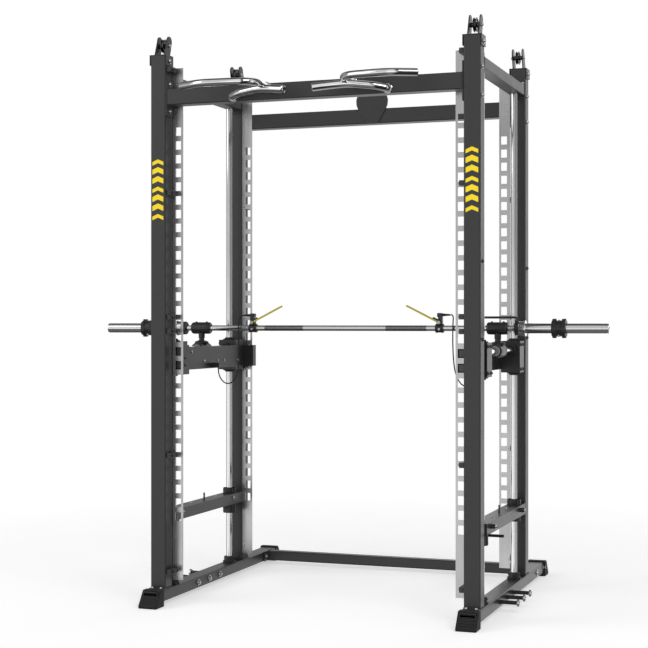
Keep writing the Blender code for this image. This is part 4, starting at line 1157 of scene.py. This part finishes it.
@dataclass
class PulleyHeads:
    """Brackets, pulleys and counterweights of the four uprights."""
    at: Layout
    bolts: Fasteners = field(default_factory=lambda: Fasteners("frame", ZINC, Head.BUTTON, 0.0080))
    nuts: Fasteners = field(default_factory=lambda: Fasteners("frame", ZINC, Head.HEX, 0.0085))

    def build(self) -> None:
        """Build the four heads and their fasteners."""
        for name, side in SIDES:
            for place, _ in ENDS:
                self._head(f"{place}_{name}", side, self.at.upright_y(place))
        self.bolts.build("head_bolts")
        self.nuts.build("head_nuts")

    def _head(self, label: str, side: int, y: float) -> None:
        """Bracket over an upright's top, its pulley, and the counterweight inside the upright."""
        shape = Shape()
        shape.node(BLACK, f"pulley_bracket_{label}", 0.0013)
        shape.piece(f"pulley_saddle_{label}", "frame", None, [f"pulley_bracket_{label}"])
        lo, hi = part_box(f"pulley_{label}")
        axis = ((lo.y + hi.y) / 2, (lo.z + hi.z) / 2)
        x, rim = side * self.at.side, (hi.z - lo.z) / 2
        half = (hi.x - lo.x) / 2
        wheel = Shape()
        wheel.lathe(DARK_BOLT, Axis.X, axis, [(x + p, r) for p, r in (
            (-half, 0.0056), (-half, 0.0095), (-0.007, 0.0105), (-0.0045, 0.0125), (-0.0045, 0.0215),
            (-0.007, 0.0235), (-0.007, rim - 0.001), (-0.0062, rim), (-0.0050, rim), (-0.0016, rim - 0.0050),
            (0.0016, rim - 0.0050), (0.0050, rim), (0.0062, rim), (0.007, rim - 0.001), (0.007, 0.0235),
            (0.0045, 0.0215), (0.0045, 0.0125), (0.007, 0.0105), (half, 0.0095), (half, 0.0056))], 48)
        wheel.piece(f"pulley_wheel_{label}", f"pulley_{label}", Slot.SILVER, [f"pulley_{label}"])
        for way in (-1, 1):
            self.nuts.add((x + way * 0.0252, axis[0], axis[1]), (way, 0, 0), 0.8)
            self.bolts.add((x + way * (self.at.tube / 2 + 0.0053), y, self.at.top - 0.020), (way, 0, 0))
        weight = Shape()
        weight.node(CAST, f"counterweight_{label}", 0.0025)
        weight.piece(f"counterweight_{label}_casting", "counterweights", None, [f"counterweight_{label}"])


# ---------------------------------------------------------------- carriages
@dataclass
class Carriages:
    """Bearing carriages with their cross rods and locking pawls."""
    at: Layout
    bolts: Fasteners = field(default_factory=lambda: Fasteners("carriage", DARK_BOLT, Head.BUTTON, 0.0062))
    block_drop: float = 0.098
    plate_screws: Fasteners = field(default_factory=lambda: Fasteners("carriage", ZINC, Head.BUTTON, 0.0048))
    plate_bolts: tuple[Pair, ...] = ((-0.3442, 1.0925), (-0.2090, 1.0491), (-0.0572, 1.0478),
                                     (0.0183, 1.0483), (0.1800, 1.0469))

    def build(self) -> None:
        """Build both carriages and their bolts."""
        for name, side in SIDES:
            self._carriage(name, side)
            self._rod(name, side)
            shape = Shape()
            shape.node(PAWL_STEEL, f"pawls_{name}", 0.0014)
            shape.piece(f"locking_pawls_{name}", f"pawls_{name}", None, [f"pawls_{name}"])
        self.bolts.build("carriage_bolts")
        self.plate_screws.build("side_plate_screws")

    def _carriage(self, name: str, side: int) -> None:
        """Blocks and side plate, with the bearing seals above and below each block."""
        at = self.at
        block_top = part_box(f"carriage_{name}")[1].z
        shape = Shape()
        shape.node(ANODISED, f"carriage_{name}", 0.0010)
        shape.piece(f"carriage_body_{name}", "carriage", None, [f"carriage_{name}"])
        seals = Shape()
        x, top, low = side * at.side, block_top, at.pawl_z - self.block_drop
        for y in (at.guide_front, at.guide_rear):
            for z, way in ((top, 1), (low, -1)):
                seals.lathe(RUBBER, Axis.Z, (x, y), [
                    (z - way * 0.001, 0.0157), (z - way * 0.001, 0.0305), (z + way * 0.0035, 0.0305),
                    (z + way * 0.0050, 0.0290), (z + way * 0.0055, 0.0225), (z + way * 0.0105, 0.0210),
                    (z + way * 0.0118, 0.0195), (z + way * 0.0118, 0.0157)], 40)
            for dy in (-0.029, 0.029):
                for z in (at.pawl_z + 0.028, at.pawl_z - 0.082):
                    self.bolts.add((side * (at.side + 0.0365), y + dy, z), (side, 0, 0))
        for y, way in ((at.guide_front + 0.0425, 1), (at.guide_rear - 0.0425, -1)):
            seals.lathe(RUBBER, Axis.Y, (x, at.rod_z), [
                (y, 0.0146), (y, 0.0236), (y + way * 0.0165, 0.0236), (y + way * 0.0195, 0.0222),
                (y + way * 0.0206, 0.0190), (y + way * 0.0206, 0.0146)], 40)
        seals.piece(f"bearing_seals_{name}", "carriage", Slot.RUBBER)
        for y, z in self.plate_bolts:
            self.plate_screws.add((side * 0.640, y, z), (-side, 0, 0))
        for z in (at.pawl_z - 0.030, at.pawl_z - 0.060):
            self.bolts.add((side * 0.618, at.guide_front - 0.046, z), (-side, 0, 0), 0.7)

    def _rod(self, name: str, side: int) -> None:
        """Chromed rod between the two blocks."""
        lo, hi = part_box(f"cross_rod_{name}")
        shape = Shape()
        shape.lathe(CROSS_CHROME, Axis.Y, (side * self.at.side, self.at.rod_z), [
            (lo.y, 0), (lo.y, 0.013), (lo.y + 0.001, 0.014),
            (hi.y - 0.001, 0.014), (hi.y, 0.013), (hi.y, 0)], 48)
        shape.piece(f"cross_rod_{name}_shaft", "carriage", None, [f"cross_rod_{name}"])


# ---------------------------------------------------------------- bar
@dataclass
class Bar:
    """Bar shaft with its knurled bands, stop rings, steering rod and hangers."""
    at: Layout
    radius: float = 0.0125
    half: float = 1.158
    stop: Pair = (0.774, 0.790)
    knurl: Pair = (0.195, 0.381)
    starts: int = 28
    depth: float = 0.0005
    screws: Fasteners = field(default_factory=lambda: Fasteners("bar", DARK_BOLT, Head.BUTTON, 0.0042))

    def build(self) -> None:
        """Build the shaft and everything that is fixed to it."""
        self._shaft()
        for name, side in SIDES:
            self._knurl(name, side)
            self._stop_ring(name, side)
            self._hanger(name, side)
        self._steering_rod()
        self.screws.build("bar_screws")

    def _shaft(self) -> None:
        """Straight polished shaft."""
        centre, r = (self.at.bar_y, self.at.bar_z), self.radius
        ends = [(0.0, 0.0), (0.0, r - 0.0012), (0.0012, r)]
        under = [(x, q) for edge, out in ((self.knurl[1], 1), (self.knurl[0], -1))
                 for x, q in ((edge + out * 0.0004, r), (edge - out * 0.0004, r - self.depth))]
        under = [under[0], under[1], under[3], under[2]]
        profile = ([(-self.half + p, q) for p, q in ends] + [(-x, q) for x, q in under]
                   + [(x, q) for x, q in reversed(under)] + [(self.half - p, q) for p, q in reversed(ends)])
        shape = Shape()
        shape.lathe(BAR_CHROME, Axis.X, centre, profile, 48)
        shape.piece("bar_shaft_polished", "bar", None, ["bar_shaft"])

    def _knurl(self, name: str, side: int) -> None:
        """Band of crossed grooves, grown on a plain ring by a geometry tree."""
        rows, sides = 210, self.starts * 4
        near, far = self.knurl
        step = (far - near) / rows
        outer = [(side * (near + step * i), self.radius + 0.0002) for i in range(rows + 1)]
        core = [(outer[-1][0], self.radius - 0.0008), (outer[0][0], self.radius - 0.0008)]
        shape = Shape()
        shape.lathe(KNURL_STEEL, Axis.X, (self.at.bar_y, self.at.bar_z), outer + core, sides)
        obj = shape.piece(f"knurl_{name}", "", Slot.CHROME)
        grow(obj, self._knurl_tree(), {
            "Axis Y": self.at.bar_y, "Axis Z": self.at.bar_z, "Starts": float(self.starts),
            "Pitch": math.tau * self.radius / self.starts, "Depth": self.depth,
            "Core Radius": self.radius, "Finish": KNURL_STEEL.material()})
        settle(obj, "bar")

    @staticmethod
    def _knurl_tree() -> bpy.types.NodeTree:
        """Geometry tree that presses two crossing sets of grooves into the skin of a ring."""
        if "press_knurl" in bpy.data.node_groups:
            return bpy.data.node_groups["press_knurl"]
        graph, start, end = new_group("press_knurl", "GeometryNodeTree", (
            ("Geometry", "NodeSocketGeometry", None), ("Axis Y", FLOAT, 0.0), ("Axis Z", FLOAT, 0.0),
            ("Starts", FLOAT, 28.0), ("Pitch", FLOAT, 0.003), ("Depth", FLOAT, 0.0005),
            ("Core Radius", FLOAT, 0.0125), ("Finish", "NodeSocketMaterial", None)),
            (("Geometry", "NodeSocketGeometry"),))
        put = start.outputs
        split = graph.add("ShaderNodeSeparateXYZ", {0: graph.add("GeometryNodeInputPosition").outputs[0]})
        dy = graph.math("SUBTRACT", split.outputs["Y"], put["Axis Y"])
        dz = graph.math("SUBTRACT", split.outputs["Z"], put["Axis Z"])
        turn = graph.math("MULTIPLY", graph.math("DIVIDE", graph.math("ARCTAN2", dz, dy), math.tau),
                          put["Starts"])
        run = graph.math("DIVIDE", split.outputs["X"], put["Pitch"])
        ridges = [graph.math("PINGPONG", graph.math(way, run, turn), 0.5) for way in ("ADD", "SUBTRACT")]
        height = graph.math("MULTIPLY", graph.math("MINIMUM", *ridges), 2.0)
        radius = graph.math("SQRT", graph.math("ADD", graph.math("MULTIPLY", dy, dy),
                                               graph.math("MULTIPLY", dz, dz)))
        skin = graph.math("GREATER_THAN", radius, put["Core Radius"])
        press = graph.math("DIVIDE", graph.math("MULTIPLY", graph.math("SUBTRACT", height, 1.0), put["Depth"]),
                           radius)
        offset = graph.add("ShaderNodeCombineXYZ", {"Y": graph.math("MULTIPLY", dy, press),
                                                    "Z": graph.math("MULTIPLY", dz, press)})
        moved = graph.add("GeometryNodeSetPosition", {"Geometry": put["Geometry"], "Selection": skin,
                                                      "Offset": offset.outputs[0]})
        real = graph.add("GeometryNodeRealizeInstances", {0: moved.outputs[0]})
        painted = graph.add("GeometryNodeSetMaterial",
                            {"Geometry": real.outputs[0], "Material": put["Finish"]})
        graph.tree.links.new(painted.outputs[0], end.inputs[0])
        return graph.tree

    def _stop_ring(self, name: str, side: int) -> None:
        """Black ring that keeps the sleeve in place."""
        near, far = self.stop
        shape = Shape()
        shape.lathe(CLAMP_BLACK, Axis.X, (self.at.bar_y, self.at.bar_z), [(side * p, r) for p, r in (
            (near, 0.0122), (near, 0.0275), (near + 0.002, 0.0298), (far - 0.006, 0.0300),
            (far - 0.0055, 0.0285), (far - 0.0035, 0.0285), (far - 0.003, 0.0300), (far - 0.0008, 0.0300),
            (far, 0.0290), (far, 0.0122))], 48)
        shape.piece(f"stop_ring_{name}", "bar", Slot.ALLOY)
        self.screws.add((side * (near + 0.006), self.at.bar_y - 0.0300, self.at.bar_z), (0, -1, 0))

    def _steering_rod(self) -> None:
        """Bent rod from the right stop ring back over the hanger."""
        middle = sum(self.stop) / 2
        y, over = self.at.bar_y, self.at.bar_z + 0.047
        path = [Vector((x, y, z)) for x, z in (
            (middle, self.at.bar_z + 0.022), (middle, over - 0.004), (middle - 0.006, over), (0.560, over))]
        shape = Shape()
        shape.sweep(BLACK, rounded_path(path, 0.008, 5), 0.005, 20)
        shape.lathe(CLAMP_BLACK, Axis.Z, (middle, y), [
            (self.at.bar_z + 0.024, 0), (self.at.bar_z + 0.024, 0.0075), (self.at.bar_z + 0.034, 0.0075),
            (self.at.bar_z + 0.036, 0.0060), (self.at.bar_z + 0.036, 0)], 24)
        shape.piece("steering_rod", "bar", Slot.BLACK)

    def _hanger(self, name: str, side: int) -> None:
        """Bearing housing, its stepped post and the slider on the cross rod."""
        at, x = self.at, side * self.at.side
        shape = Shape()
        housing = [(0.0450, 0.0128), (0.0460, 0.0200), (0.0458, 0.0222), (0.0440, 0.0245), (0.0415, 0.0262),
                   (0.0380, 0.0268), (0.0360, 0.0268), (0.0355, 0.0262), (0.0345, 0.0262), (0.0340, 0.0270)]
        profile = [(x - p, r) for p, r in housing] + [(x + p, r) for p, r in reversed(housing)]
        shape.lathe(BLACK, Axis.X, (at.bar_y, at.bar_z), profile, 48)
        z = at.rod_z
        shape.lathe(BLACK, Axis.Z, (x, at.bar_y), [
            (z + 0.020, 0), (z + 0.020, 0.024), (z + 0.0265, 0.0300),
            (z + 0.0275, 0.0320), (z + 0.0325, 0.0320),
            (z + 0.0345, 0.0305), (z + 0.0375, 0.0240), (z + 0.0395, 0.0175), (z + 0.0405, 0.0130),
            (z + 0.0500, 0.0118), (z + 0.0505, 0.0140), (z + 0.0530, 0.0145), (z + 0.0660, 0.0145),
            (z + 0.0760, 0.0150), (z + 0.0760, 0)], 40)
        sleeve = [(0.0540, 0.0145), (0.0540, 0.0280), (0.0525, 0.0298), (0.0400, 0.0300), (0.0390, 0.0288),
                  (0.0370, 0.0288), (0.0360, 0.0300)]
        profile = [(at.bar_y - p, r) for p, r in sleeve] + [(at.bar_y + p, r) for p, r in reversed(sleeve)]
        shape.lathe(BLACK, Axis.Y, (x, z), profile, 48)
        for way in (-1, 1):
            shape.lathe(SEAL, Axis.Y, (x, z), [(at.bar_y + way * p, r) for p, r in (
                (0.0535, 0.0144), (0.0535, 0.0225), (0.0585, 0.0225), (0.0600, 0.0205),
                (0.0600, 0.0144))], 40)
        shape.piece(f"bar_hanger_{name}_turned", "bar", Slot.BLACK, [f"bar_hanger_{name}"])
        for dx in (-0.026, 0.026):
            self.screws.add((x + dx, at.bar_y, at.bar_z + 0.0266), (0, 0, 1))
        self.screws.add((x, at.bar_y - 0.0144, z + 0.060), (0, -1, 0), 0.8)


@dataclass
class WeightSleeves:
    """Turning sleeves with their clip collars."""
    at: Layout
    start: float = 0.791
    end: float = 1.176
    clip_x: float = 0.965

    def build(self) -> None:
        """Build both sleeves and clips."""
        for name, side in SIDES:
            self._sleeve(name, side)
            self._clip(name, side)

    def _sleeve(self, name: str, side: int) -> None:
        """Chromed sleeve with a stepped flange and two grooves near its end."""
        s, e, r = self.start, self.end, 0.022
        profile = [(s, 0.0128), (s, 0.0300), (s + 0.0010, 0.0310), (s + 0.0190, 0.0310), (s + 0.0200, 0.0290),
                   (s + 0.0215, 0.0290), (s + 0.0220, 0.0335), (s + 0.0232, 0.0345), (s + 0.0288, 0.0345),
                   (s + 0.0298, 0.0335), (s + 0.0298, r)]
        for groove in (e - 0.0270, e - 0.0085):
            profile += [(groove - 0.0012, r), (groove - 0.0006, r - 0.0012), (groove + 0.0006, r - 0.0012),
                        (groove + 0.0012, r)]
        profile += [(e - 0.0025, r), (e - 0.0007, r - 0.0010), (e, r - 0.0030), (e, 0.0090),
                    (e - 0.0020, 0.0080), (e - 0.0020, 0)]
        profile.insert(0, (e - 0.0140, 0.0128))
        profile.insert(0, (e - 0.0140, 0))
        shape = Shape()
        shape.lathe(BAR_CHROME, Axis.X, (self.at.bar_y, self.at.bar_z),
                    [(side * p, q) for p, q in profile], 64)
        shape.piece(f"sleeve_{name}_turned", f"sleeve_{name}", None, [f"sleeve_{name}"])

    def _clip(self, name: str, side: int) -> None:
        """Split collar with raised lugs round both rims and a screw across its slot."""
        shape, c = Shape(), (self.at.bar_y, self.at.bar_z)
        x = side * self.clip_x
        shape.lathe(CLAMP_BLACK, Axis.X, c, [(x + p, r) for p, r in (
            (-0.0290, 0.0223), (-0.0300, 0.0350), (-0.0285, 0.0368), (-0.0120, 0.0368), (-0.0100, 0.0345),
            (0.0100, 0.0345), (0.0120, 0.0368), (0.0285, 0.0368), (0.0300, 0.0350), (0.0290, 0.0223))], 48)
        for lug in range(6):
            angle = math.tau * (lug + 0.5) / 6
            middle = Vector((0, math.cos(angle), math.sin(angle)))
            across = Vector((0, -math.sin(angle), math.cos(angle)))
            for way in (-1, 1):
                corners = []
                for out, width in ((0.0340, 0.0110), (0.0398, 0.0100), (0.0413, 0.0072)):
                    corners += [middle * out + across * width, middle * out - across * width]
                ring = [corners[i] for i in (0, 2, 4, 5, 3, 1)]
                outline = [(c[0] + p.y, c[1] + p.z) for p in ring]
                reach = sorted((x + way * 0.0130, x + way * 0.0285))
                shape.prism(CLAMP_BLACK, Axis.X, outline, (reach[0], reach[1]), None, 0.0010)
        shape.piece(f"clip_{name}_collar", f"clip_{name}", None, [f"clip_{name}"])
        screw = Fasteners(f"clip_{name}", ZINC, Head.BUTTON, 0.0050)
        screw.add((x, c[0] - 0.0172, c[1] - 0.0298), (0, -0.5, -0.866))
        screw.add((x, c[0], c[1] + 0.0344), (0, 0, 1), 0.7)
        screw.build(f"clip_screws_{name}")


# ---------------------------------------------------------------- levers and cables
@dataclass
class BrakeLevers:
    """Lever clamps on the bar, squeeze levers and their cables to the carriages."""
    at: Layout
    x: float = 0.440
    pivot: float = 0.0255
    reach: Pair = (0.147, 0.0735)
    cable_radius: float = 0.00275
    route: tuple[Point, ...] = (
        (0.4894, 0.0000, 0.0585), (0.4940, 0.0000, 0.0585), (0.5005, -0.0045, 0.0550),
        (0.5040, -0.0120, 0.0430), (0.5045, -0.0190, 0.0270), (0.5045, -0.0220, 0.0050),
        (0.5040, -0.0220, -0.0250), (0.5035, -0.0200, -0.0650), (0.5040, -0.0160, -0.1100),
        (0.5060, -0.0120, -0.1500), (0.5100, -0.0090, -0.1850), (0.5190, -0.0060, -0.2150),
        (0.5330, -0.0040, -0.2390), (0.5520, -0.0020, -0.2530), (0.5720, -0.0010, -0.2555),
        (0.5900, 0.0000, -0.2470), (0.6050, 0.0000, -0.2290), (0.6130, 0.0000, -0.2080),
        (0.6150, 0.0000, -0.1818))

    def build(self) -> None:
        """Build both levers with their cables."""
        for name, side in SIDES:
            self._clamp(name, side)
            self._lever(name, side)
            self._cable(name, side)

    def _clamp(self, name: str, side: int) -> None:
        """Split ring on the bar with an upright bracket and the cable's boot."""
        at, x = self.at, side * self.x
        y, z = at.bar_y, at.bar_z
        shape = Shape()
        shape.lathe(CLAMP_BLACK, Axis.X, (y, z), [(x + p, r) for p, r in (
            (-0.0180, 0.0128), (-0.0180, 0.0185), (-0.0165, 0.0200), (-0.0080, 0.0200), (-0.0070, 0.0188),
            (0.0070, 0.0188), (0.0080, 0.0200), (0.0165, 0.0200), (0.0180, 0.0185), (0.0180, 0.0128))], 40)
        bracket = [(-0.010, 0.015), (0.012, 0.015), (0.012, 0.064), (0.009, 0.067), (-0.007, 0.067),
                   (-0.010, 0.063), (-0.010, 0.052), (-0.0055, 0.047), (-0.0055, 0.038), (-0.010, 0.033)]
        outline = [(x + side * p, z + q) for p, q in bracket]
        shape.prism(CLAMP_BLACK, Axis.Y, outline, around(y, 0.022), None, 0.0009)
        boot = [(0.0080, 0), (0.0080, 0.0060), (0.0200, 0.0060)]
        for i in range(5):
            p = 0.0210 + i * 0.0052
            r = 0.0060 - i * 0.0004
            boot += [(p, r), (p + 0.0016, r), (p + 0.0024, r - 0.0012), (p + 0.0040, r - 0.0012)]
        boot += [(0.0480, 0.0036), (0.0490, 0.0032), (0.0490, 0)]
        shape.lathe(RUBBER, Axis.X, (y, z + 0.0585), [(side * (self.x + p), r) for p, r in boot], 24)
        shape.lathe(DARK_BOLT, Axis.Y, (x, z + self.pivot), [
            (y - 0.0215, 0), (y - 0.0215, 0.0034), (y - 0.006, 0.0034), (y - 0.006, 0)], 20)
        shape.piece(f"lever_clamp_{name}_machined", "bar", Slot.ALLOY, [f"lever_clamp_{name}"])
        bolts = Fasteners("bar", ZINC, Head.BUTTON, 0.0052)
        bolts.add((x, y - 0.0208, z + self.pivot), (0, -1, 0))
        bolts.add((x + side * 0.001, y - 0.0188, z - 0.004), (0, -1, 0), 0.7)
        bolts.add((x, y + 0.0110, z + 0.030), (0, 1, 0), 0.7)
        bolts.build(f"lever_screws_{name}")

    def _lever(self, name: str, side: int) -> None:
        """Yellow lever on its hub, with the short black arm that pulls the cable."""
        x, y, z = side * self.x, self.at.bar_y - 0.0165, self.at.bar_z + self.pivot
        hub = Vector((x, y, z))
        tip = hub + Vector((-side * self.reach[0], 0, self.reach[1]))
        shape = Shape()
        shape.lathe(CLAMP_BLACK, Axis.Y, (x, z), [
            (y - 0.0040, 0.0037), (y - 0.0040, 0.0090), (y - 0.0030, 0.0100), (y + 0.0030, 0.0100),
            (y + 0.0040, 0.0090), (y + 0.0040, 0.0037)], 32)
        run = tip - hub
        shape.sweep(LEVER_YELLOW, [hub.lerp(tip, t) for t in (0.07, 0.30, 0.97, 1.0)], 0.0044, 20, 0.0042)
        rise = Vector((run.z, 0, -run.x)).normalized() * side
        up = rise if rise.z > 0 else -rise
        stub = hub + up * 0.0075
        shape.sweep(CLAMP_BLACK, [stub + run * 0.03, stub + run * 0.20], 0.0040, 16, 0.0034)
        shape.piece(f"squeeze_lever_{name}", f"lever_{name}", Slot.YELLOW, [f"lever_{name}"])

    def _cable(self, name: str, side: int) -> None:
        """Brake cable on one smooth curve from the boot to the carriage's gland."""
        knots = [Vector((side * x, self.at.bar_y + dy, self.at.bar_z + dz)) for x, dy, dz in self.route]
        path = rounded_path(knots, 0.016, 4)
        shape = Shape()
        shape.sweep(RUBBER, path, self.cable_radius, 14)
        node = f"brake_cable_{name}"
        obj = shape.piece(f"brake_cable_{name}_sheath", "", Slot.RUBBER, [node])
        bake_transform(obj, "bar", "carriage", start=(side * 0.5040, self.at.bar_y, self.at.bar_z - 0.020),
                 end=(side * 0.5040, self.at.bar_y, self.at.bar_z - 0.172))


# ---------------------------------------------------------------- safety arms
@dataclass
class SafetyArms:
    """Safety arms that slide on the guide rods, with their release handles."""
    at: Layout
    handle: float = 0.085
    low: float = 0.3530
    high: float = 0.4020
    bolt_z: float = 0.383
    handle_top: float = 0.3527

    def build(self) -> None:
        """Build both arms."""
        for name, side in SIDES:
            grip_front = side > 0
            self._arm(name, side, grip_front)
            self._handle(name, side, grip_front)

    def _arm(self, name: str, side: int, grip_front: bool) -> None:
        """Welded arm with its bearing bushes, and the bolts that hold them."""
        at = self.at
        node = f"safety_arm_{name}"
        shape = Shape()
        shape.node(PAINT, node, 0.0013)
        shape.piece(f"safety_beam_{name}", f"safety_{name}", None, [node])
        low, high = self.low, self.high
        bushes = Shape()
        for y in (at.guide_front, at.guide_rear):
            gripping = (y == at.guide_front) == grip_front
            drop, radius = (0.045, 0.0306) if gripping else (0.024, 0.0286)
            bushes.lathe(BLACK, Axis.Z, (side * at.side, y), [
                (low - drop, 0.0157), (low - drop, radius - 0.003), (low - drop + 0.003, radius),
                (low - 0.012, radius), (low - 0.0105, radius - 0.0015), (low - 0.009, radius),
                (low + 0.001, radius), (low + 0.001, 0.0157)], 40)
        bushes.lathe(BLACK, Axis.Z, (side * at.side, at.guide_rear), [
            (high - 0.001, 0.0157), (high - 0.001, 0.0306), (high + 0.023, 0.0306), (high + 0.026, 0.0280),
            (high + 0.026, 0.0157)], 40)
        bushes.piece(f"safety_bushes_{name}", f"safety_{name}", Slot.BLACK)
        bolts = Fasteners(f"safety_{name}", ZINC, Head.BUTTON, 0.0070)
        for y in (at.guide_front + 0.030, at.guide_rear - 0.030):
            bolts.add((side * (at.inner - 0.0002), y, self.bolt_z), (-side, 0, 0))
            bolts.add((side * (at.outer + 0.0200), y, self.bolt_z), (side, 0, 0))
        middle = (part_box(node)[0].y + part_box(node)[1].y) / 2
        for dy in (-0.14, 0.14):
            bolts.add((side * at.side, middle + dy, high), (0, 0, 1), 0.7)
        bolts.build(f"safety_bolts_{name}")

    def _handle(self, name: str, side: int, grip_front: bool) -> None:
        """Hub and ribbed grip under the arm."""
        at = self.at
        y = at.guide_front + 0.048 if grip_front else at.guide_rear - 0.048
        top = self.handle_top
        z, root, tip = top - 0.010, at.side + 0.004, at.side + self.handle
        shape = Shape()
        shape.lathe(BLACK, Axis.Z, (side * at.side, y), [
            (top - 0.020, 0), (top - 0.020, 0.0105), (top - 0.0185, 0.0120), (top - 0.0015, 0.0120),
            (top, 0.0110), (top, 0)], 32)
        profile = [(root, 0), (root, 0.0048), (at.side + 0.016, 0.0048)]
        for i in range(13):
            p = at.side + 0.018 + i * 0.0048
            profile += [(p, 0.0056), (p + 0.0008, 0.0064), (p + 0.0028, 0.0064), (p + 0.0036, 0.0056)]
        profile += [(tip - 0.002, 0.0064), (tip - 0.0006, 0.0058), (tip, 0.0045), (tip, 0)]
        shape.lathe(RUBBER, Axis.X, (y, z), [(side * p, r) for p, r in profile], 28)
        shape.piece(f"release_handle_{name}", f"safety_handle_{name}", Slot.RUBBER, [f"safety_handle_{name}"])


# ---------------------------------------------------------------- studio
@dataclass
class Studio:
    """Pale floor, soft light and the camera."""
    eye: Point = (2.1463, -6.3755, 1.2211)
    yaw: float = math.radians(19.706)
    lens: float = 82.34
    floor: float = 40.0

    def build(self) -> None:
        """Set the stage."""
        self._floor()
        self._sky()
        self._lamp("key_softbox", (5.0, -4.5, 5.5), 3.0, 120.0)
        self._lamp("fill_softbox", (-5.0, -4.0, 4.0), 3.0, 60.0)
        self._camera()
        bpy.context.scene.view_settings.view_transform = "Standard"

    def _floor(self) -> None:
        """Large pale floor just under the feet."""
        mesh = bpy.data.meshes.new("studio_floor")
        half = self.floor / 2
        mesh.from_pydata([(-half, -half, 0), (half, -half, 0), (half, half, 0), (-half, half, 0)], [],
                         [(0, 1, 2, 3)])
        obj = bpy.data.objects.new("studio_floor", mesh)
        obj.location.z = -0.0005
        bpy.context.collection.objects.link(obj)
        obj.visible_glossy = False
        paint = bpy.data.materials.new("studio_white")
        paint.use_nodes = True
        graph = Graph(paint.node_tree)
        shader = paint.node_tree.nodes["Principled BSDF"]
        shader.inputs["Roughness"].default_value = 0.9
        shader.inputs["Specular IOR Level"].default_value = 0.0
        shader.inputs["Emission Strength"].default_value = 1.0
        place = graph.add("ShaderNodeTexCoord").outputs["Object"]
        away = graph.add("ShaderNodeVectorMath", {0: place}, operation="LENGTH").outputs["Value"]
        grain = graph.noise(place, 3.0)
        near = graph.ramp(graph.math("ADD", away, grain), 1.6, 4.2, 0.0, 1.0)
        paper, white, glow = ((v, v, v, 1.0) for v in (0.90, 1.0, 0.50))
        graph.tree.links.new(graph.blend(near, paper, (0.0, 0.0, 0.0, 1.0)), shader.inputs["Base Color"])
        graph.tree.links.new(graph.blend(near, glow, white), shader.inputs["Emission Color"])
        mesh.materials.append(paint)

    def _sky(self) -> None:
        """Surroundings of soft panels: white to the eye, light and dark bands to the metal."""
        world = bpy.data.worlds.new("studio")
        bpy.context.scene.world = world
        world.use_nodes = True
        world.node_tree.nodes.clear()
        graph = Graph(world.node_tree)
        way = graph.add("ShaderNodeSeparateXYZ", {0: graph.add("ShaderNodeTexCoord").outputs["Generated"]})
        x, y, z = (way.outputs[label] for label in "XYZ")
        front = graph.ramp(y, 0.25, -0.25, 0.0, 1.0)
        turn = graph.math("ARCTAN2", x, graph.math("MULTIPLY", y, -1.0))
        low_front = graph.blend_values(z, ((-0.36, 0.22), (-0.24, 1.65), (-0.05, 1.65), (0.05, 0.92),
                                           (0.80, 1.0), (0.94, 0.20)))
        behind = graph.blend_values(turn, ((-3.00, 1.35), (-2.60, 0.30), (-1.90, 0.30),
                                           (-1.70, 0.55), (1.20, 0.60), (1.70, 0.20), (2.60, 0.16), (2.80, 1.35)))
        rear = graph.math("MULTIPLY", behind, graph.blend_values(z, ((-0.60, 0.30), (-0.30, 1.0), (0.45, 1.0),
                                                                     (0.70, 0.25))))
        stripe = graph.blend_values(turn, ((-1.50, 0.10), (-1.30, 0.75), (0.10, 0.75),
                                           (0.20, 1.0), (0.45, 1.0), (0.60, 0.08), (1.20, 0.08), (1.38, 1.1)))
        lit = graph.math("ADD", graph.math("MULTIPLY", graph.math("MULTIPLY", front, low_front), stripe),
                         graph.math("MULTIPLY", graph.math("SUBTRACT", 1.0, front), rear))
        metal = graph.add("ShaderNodeBackground", {"Strength": lit})
        seen = graph.add("ShaderNodeBackground", {"Strength": 1.0})
        for node in (metal, seen):
            node.inputs["Color"].default_value = (1.0, 1.0, 1.0, 1.0)
        ray = graph.add("ShaderNodeLightPath").outputs["Is Camera Ray"]
        mixed = graph.add("ShaderNodeMixShader", {0: ray, 1: metal.outputs[0], 2: seen.outputs[0]})
        graph.add("ShaderNodeOutputWorld", {0: mixed.outputs[0]})

    def _lamp(self, name: str, at: Point, size: float, power: float) -> None:
        """Square softbox that looks at the middle of the machine."""
        light = bpy.data.lights.new(name, "AREA")
        light.size = size
        light.energy = power
        obj = bpy.data.objects.new(name, light)
        obj.location = at
        obj.rotation_euler = (Vector((0, 0, 1.2)) - Vector(at)).to_track_quat("-Z", "Y").to_euler()
        bpy.context.collection.objects.link(obj)

    def _camera(self) -> None:
        """Level camera in front and to the right."""
        camera = bpy.data.cameras.new("camera")
        camera.lens = self.lens
        camera.sensor_width = 36.0
        camera.shift_y = -0.0012
        camera.clip_end = 100.0
        obj = bpy.data.objects.new("camera", camera)
        obj.location = self.eye
        obj.rotation_euler = (math.pi / 2, 0.0, self.yaw)
        bpy.context.collection.objects.link(obj)
        bpy.context.scene.camera = obj


def main() -> None:
    """Build every sub-assembly in order."""
    logging.basicConfig(level=logging.INFO, format="%(name)s %(message)s")
    at = Layout.read()
    for part in (Studio(), Rack(at), UprightDecals(at), PullUpGrips(at), PulleyHeads(at), Carriages(at),
                 Bar(at), WeightSleeves(at), BrakeLevers(at), SafetyArms(at)):
        part.build()


if __name__ == "__main__":
    main()
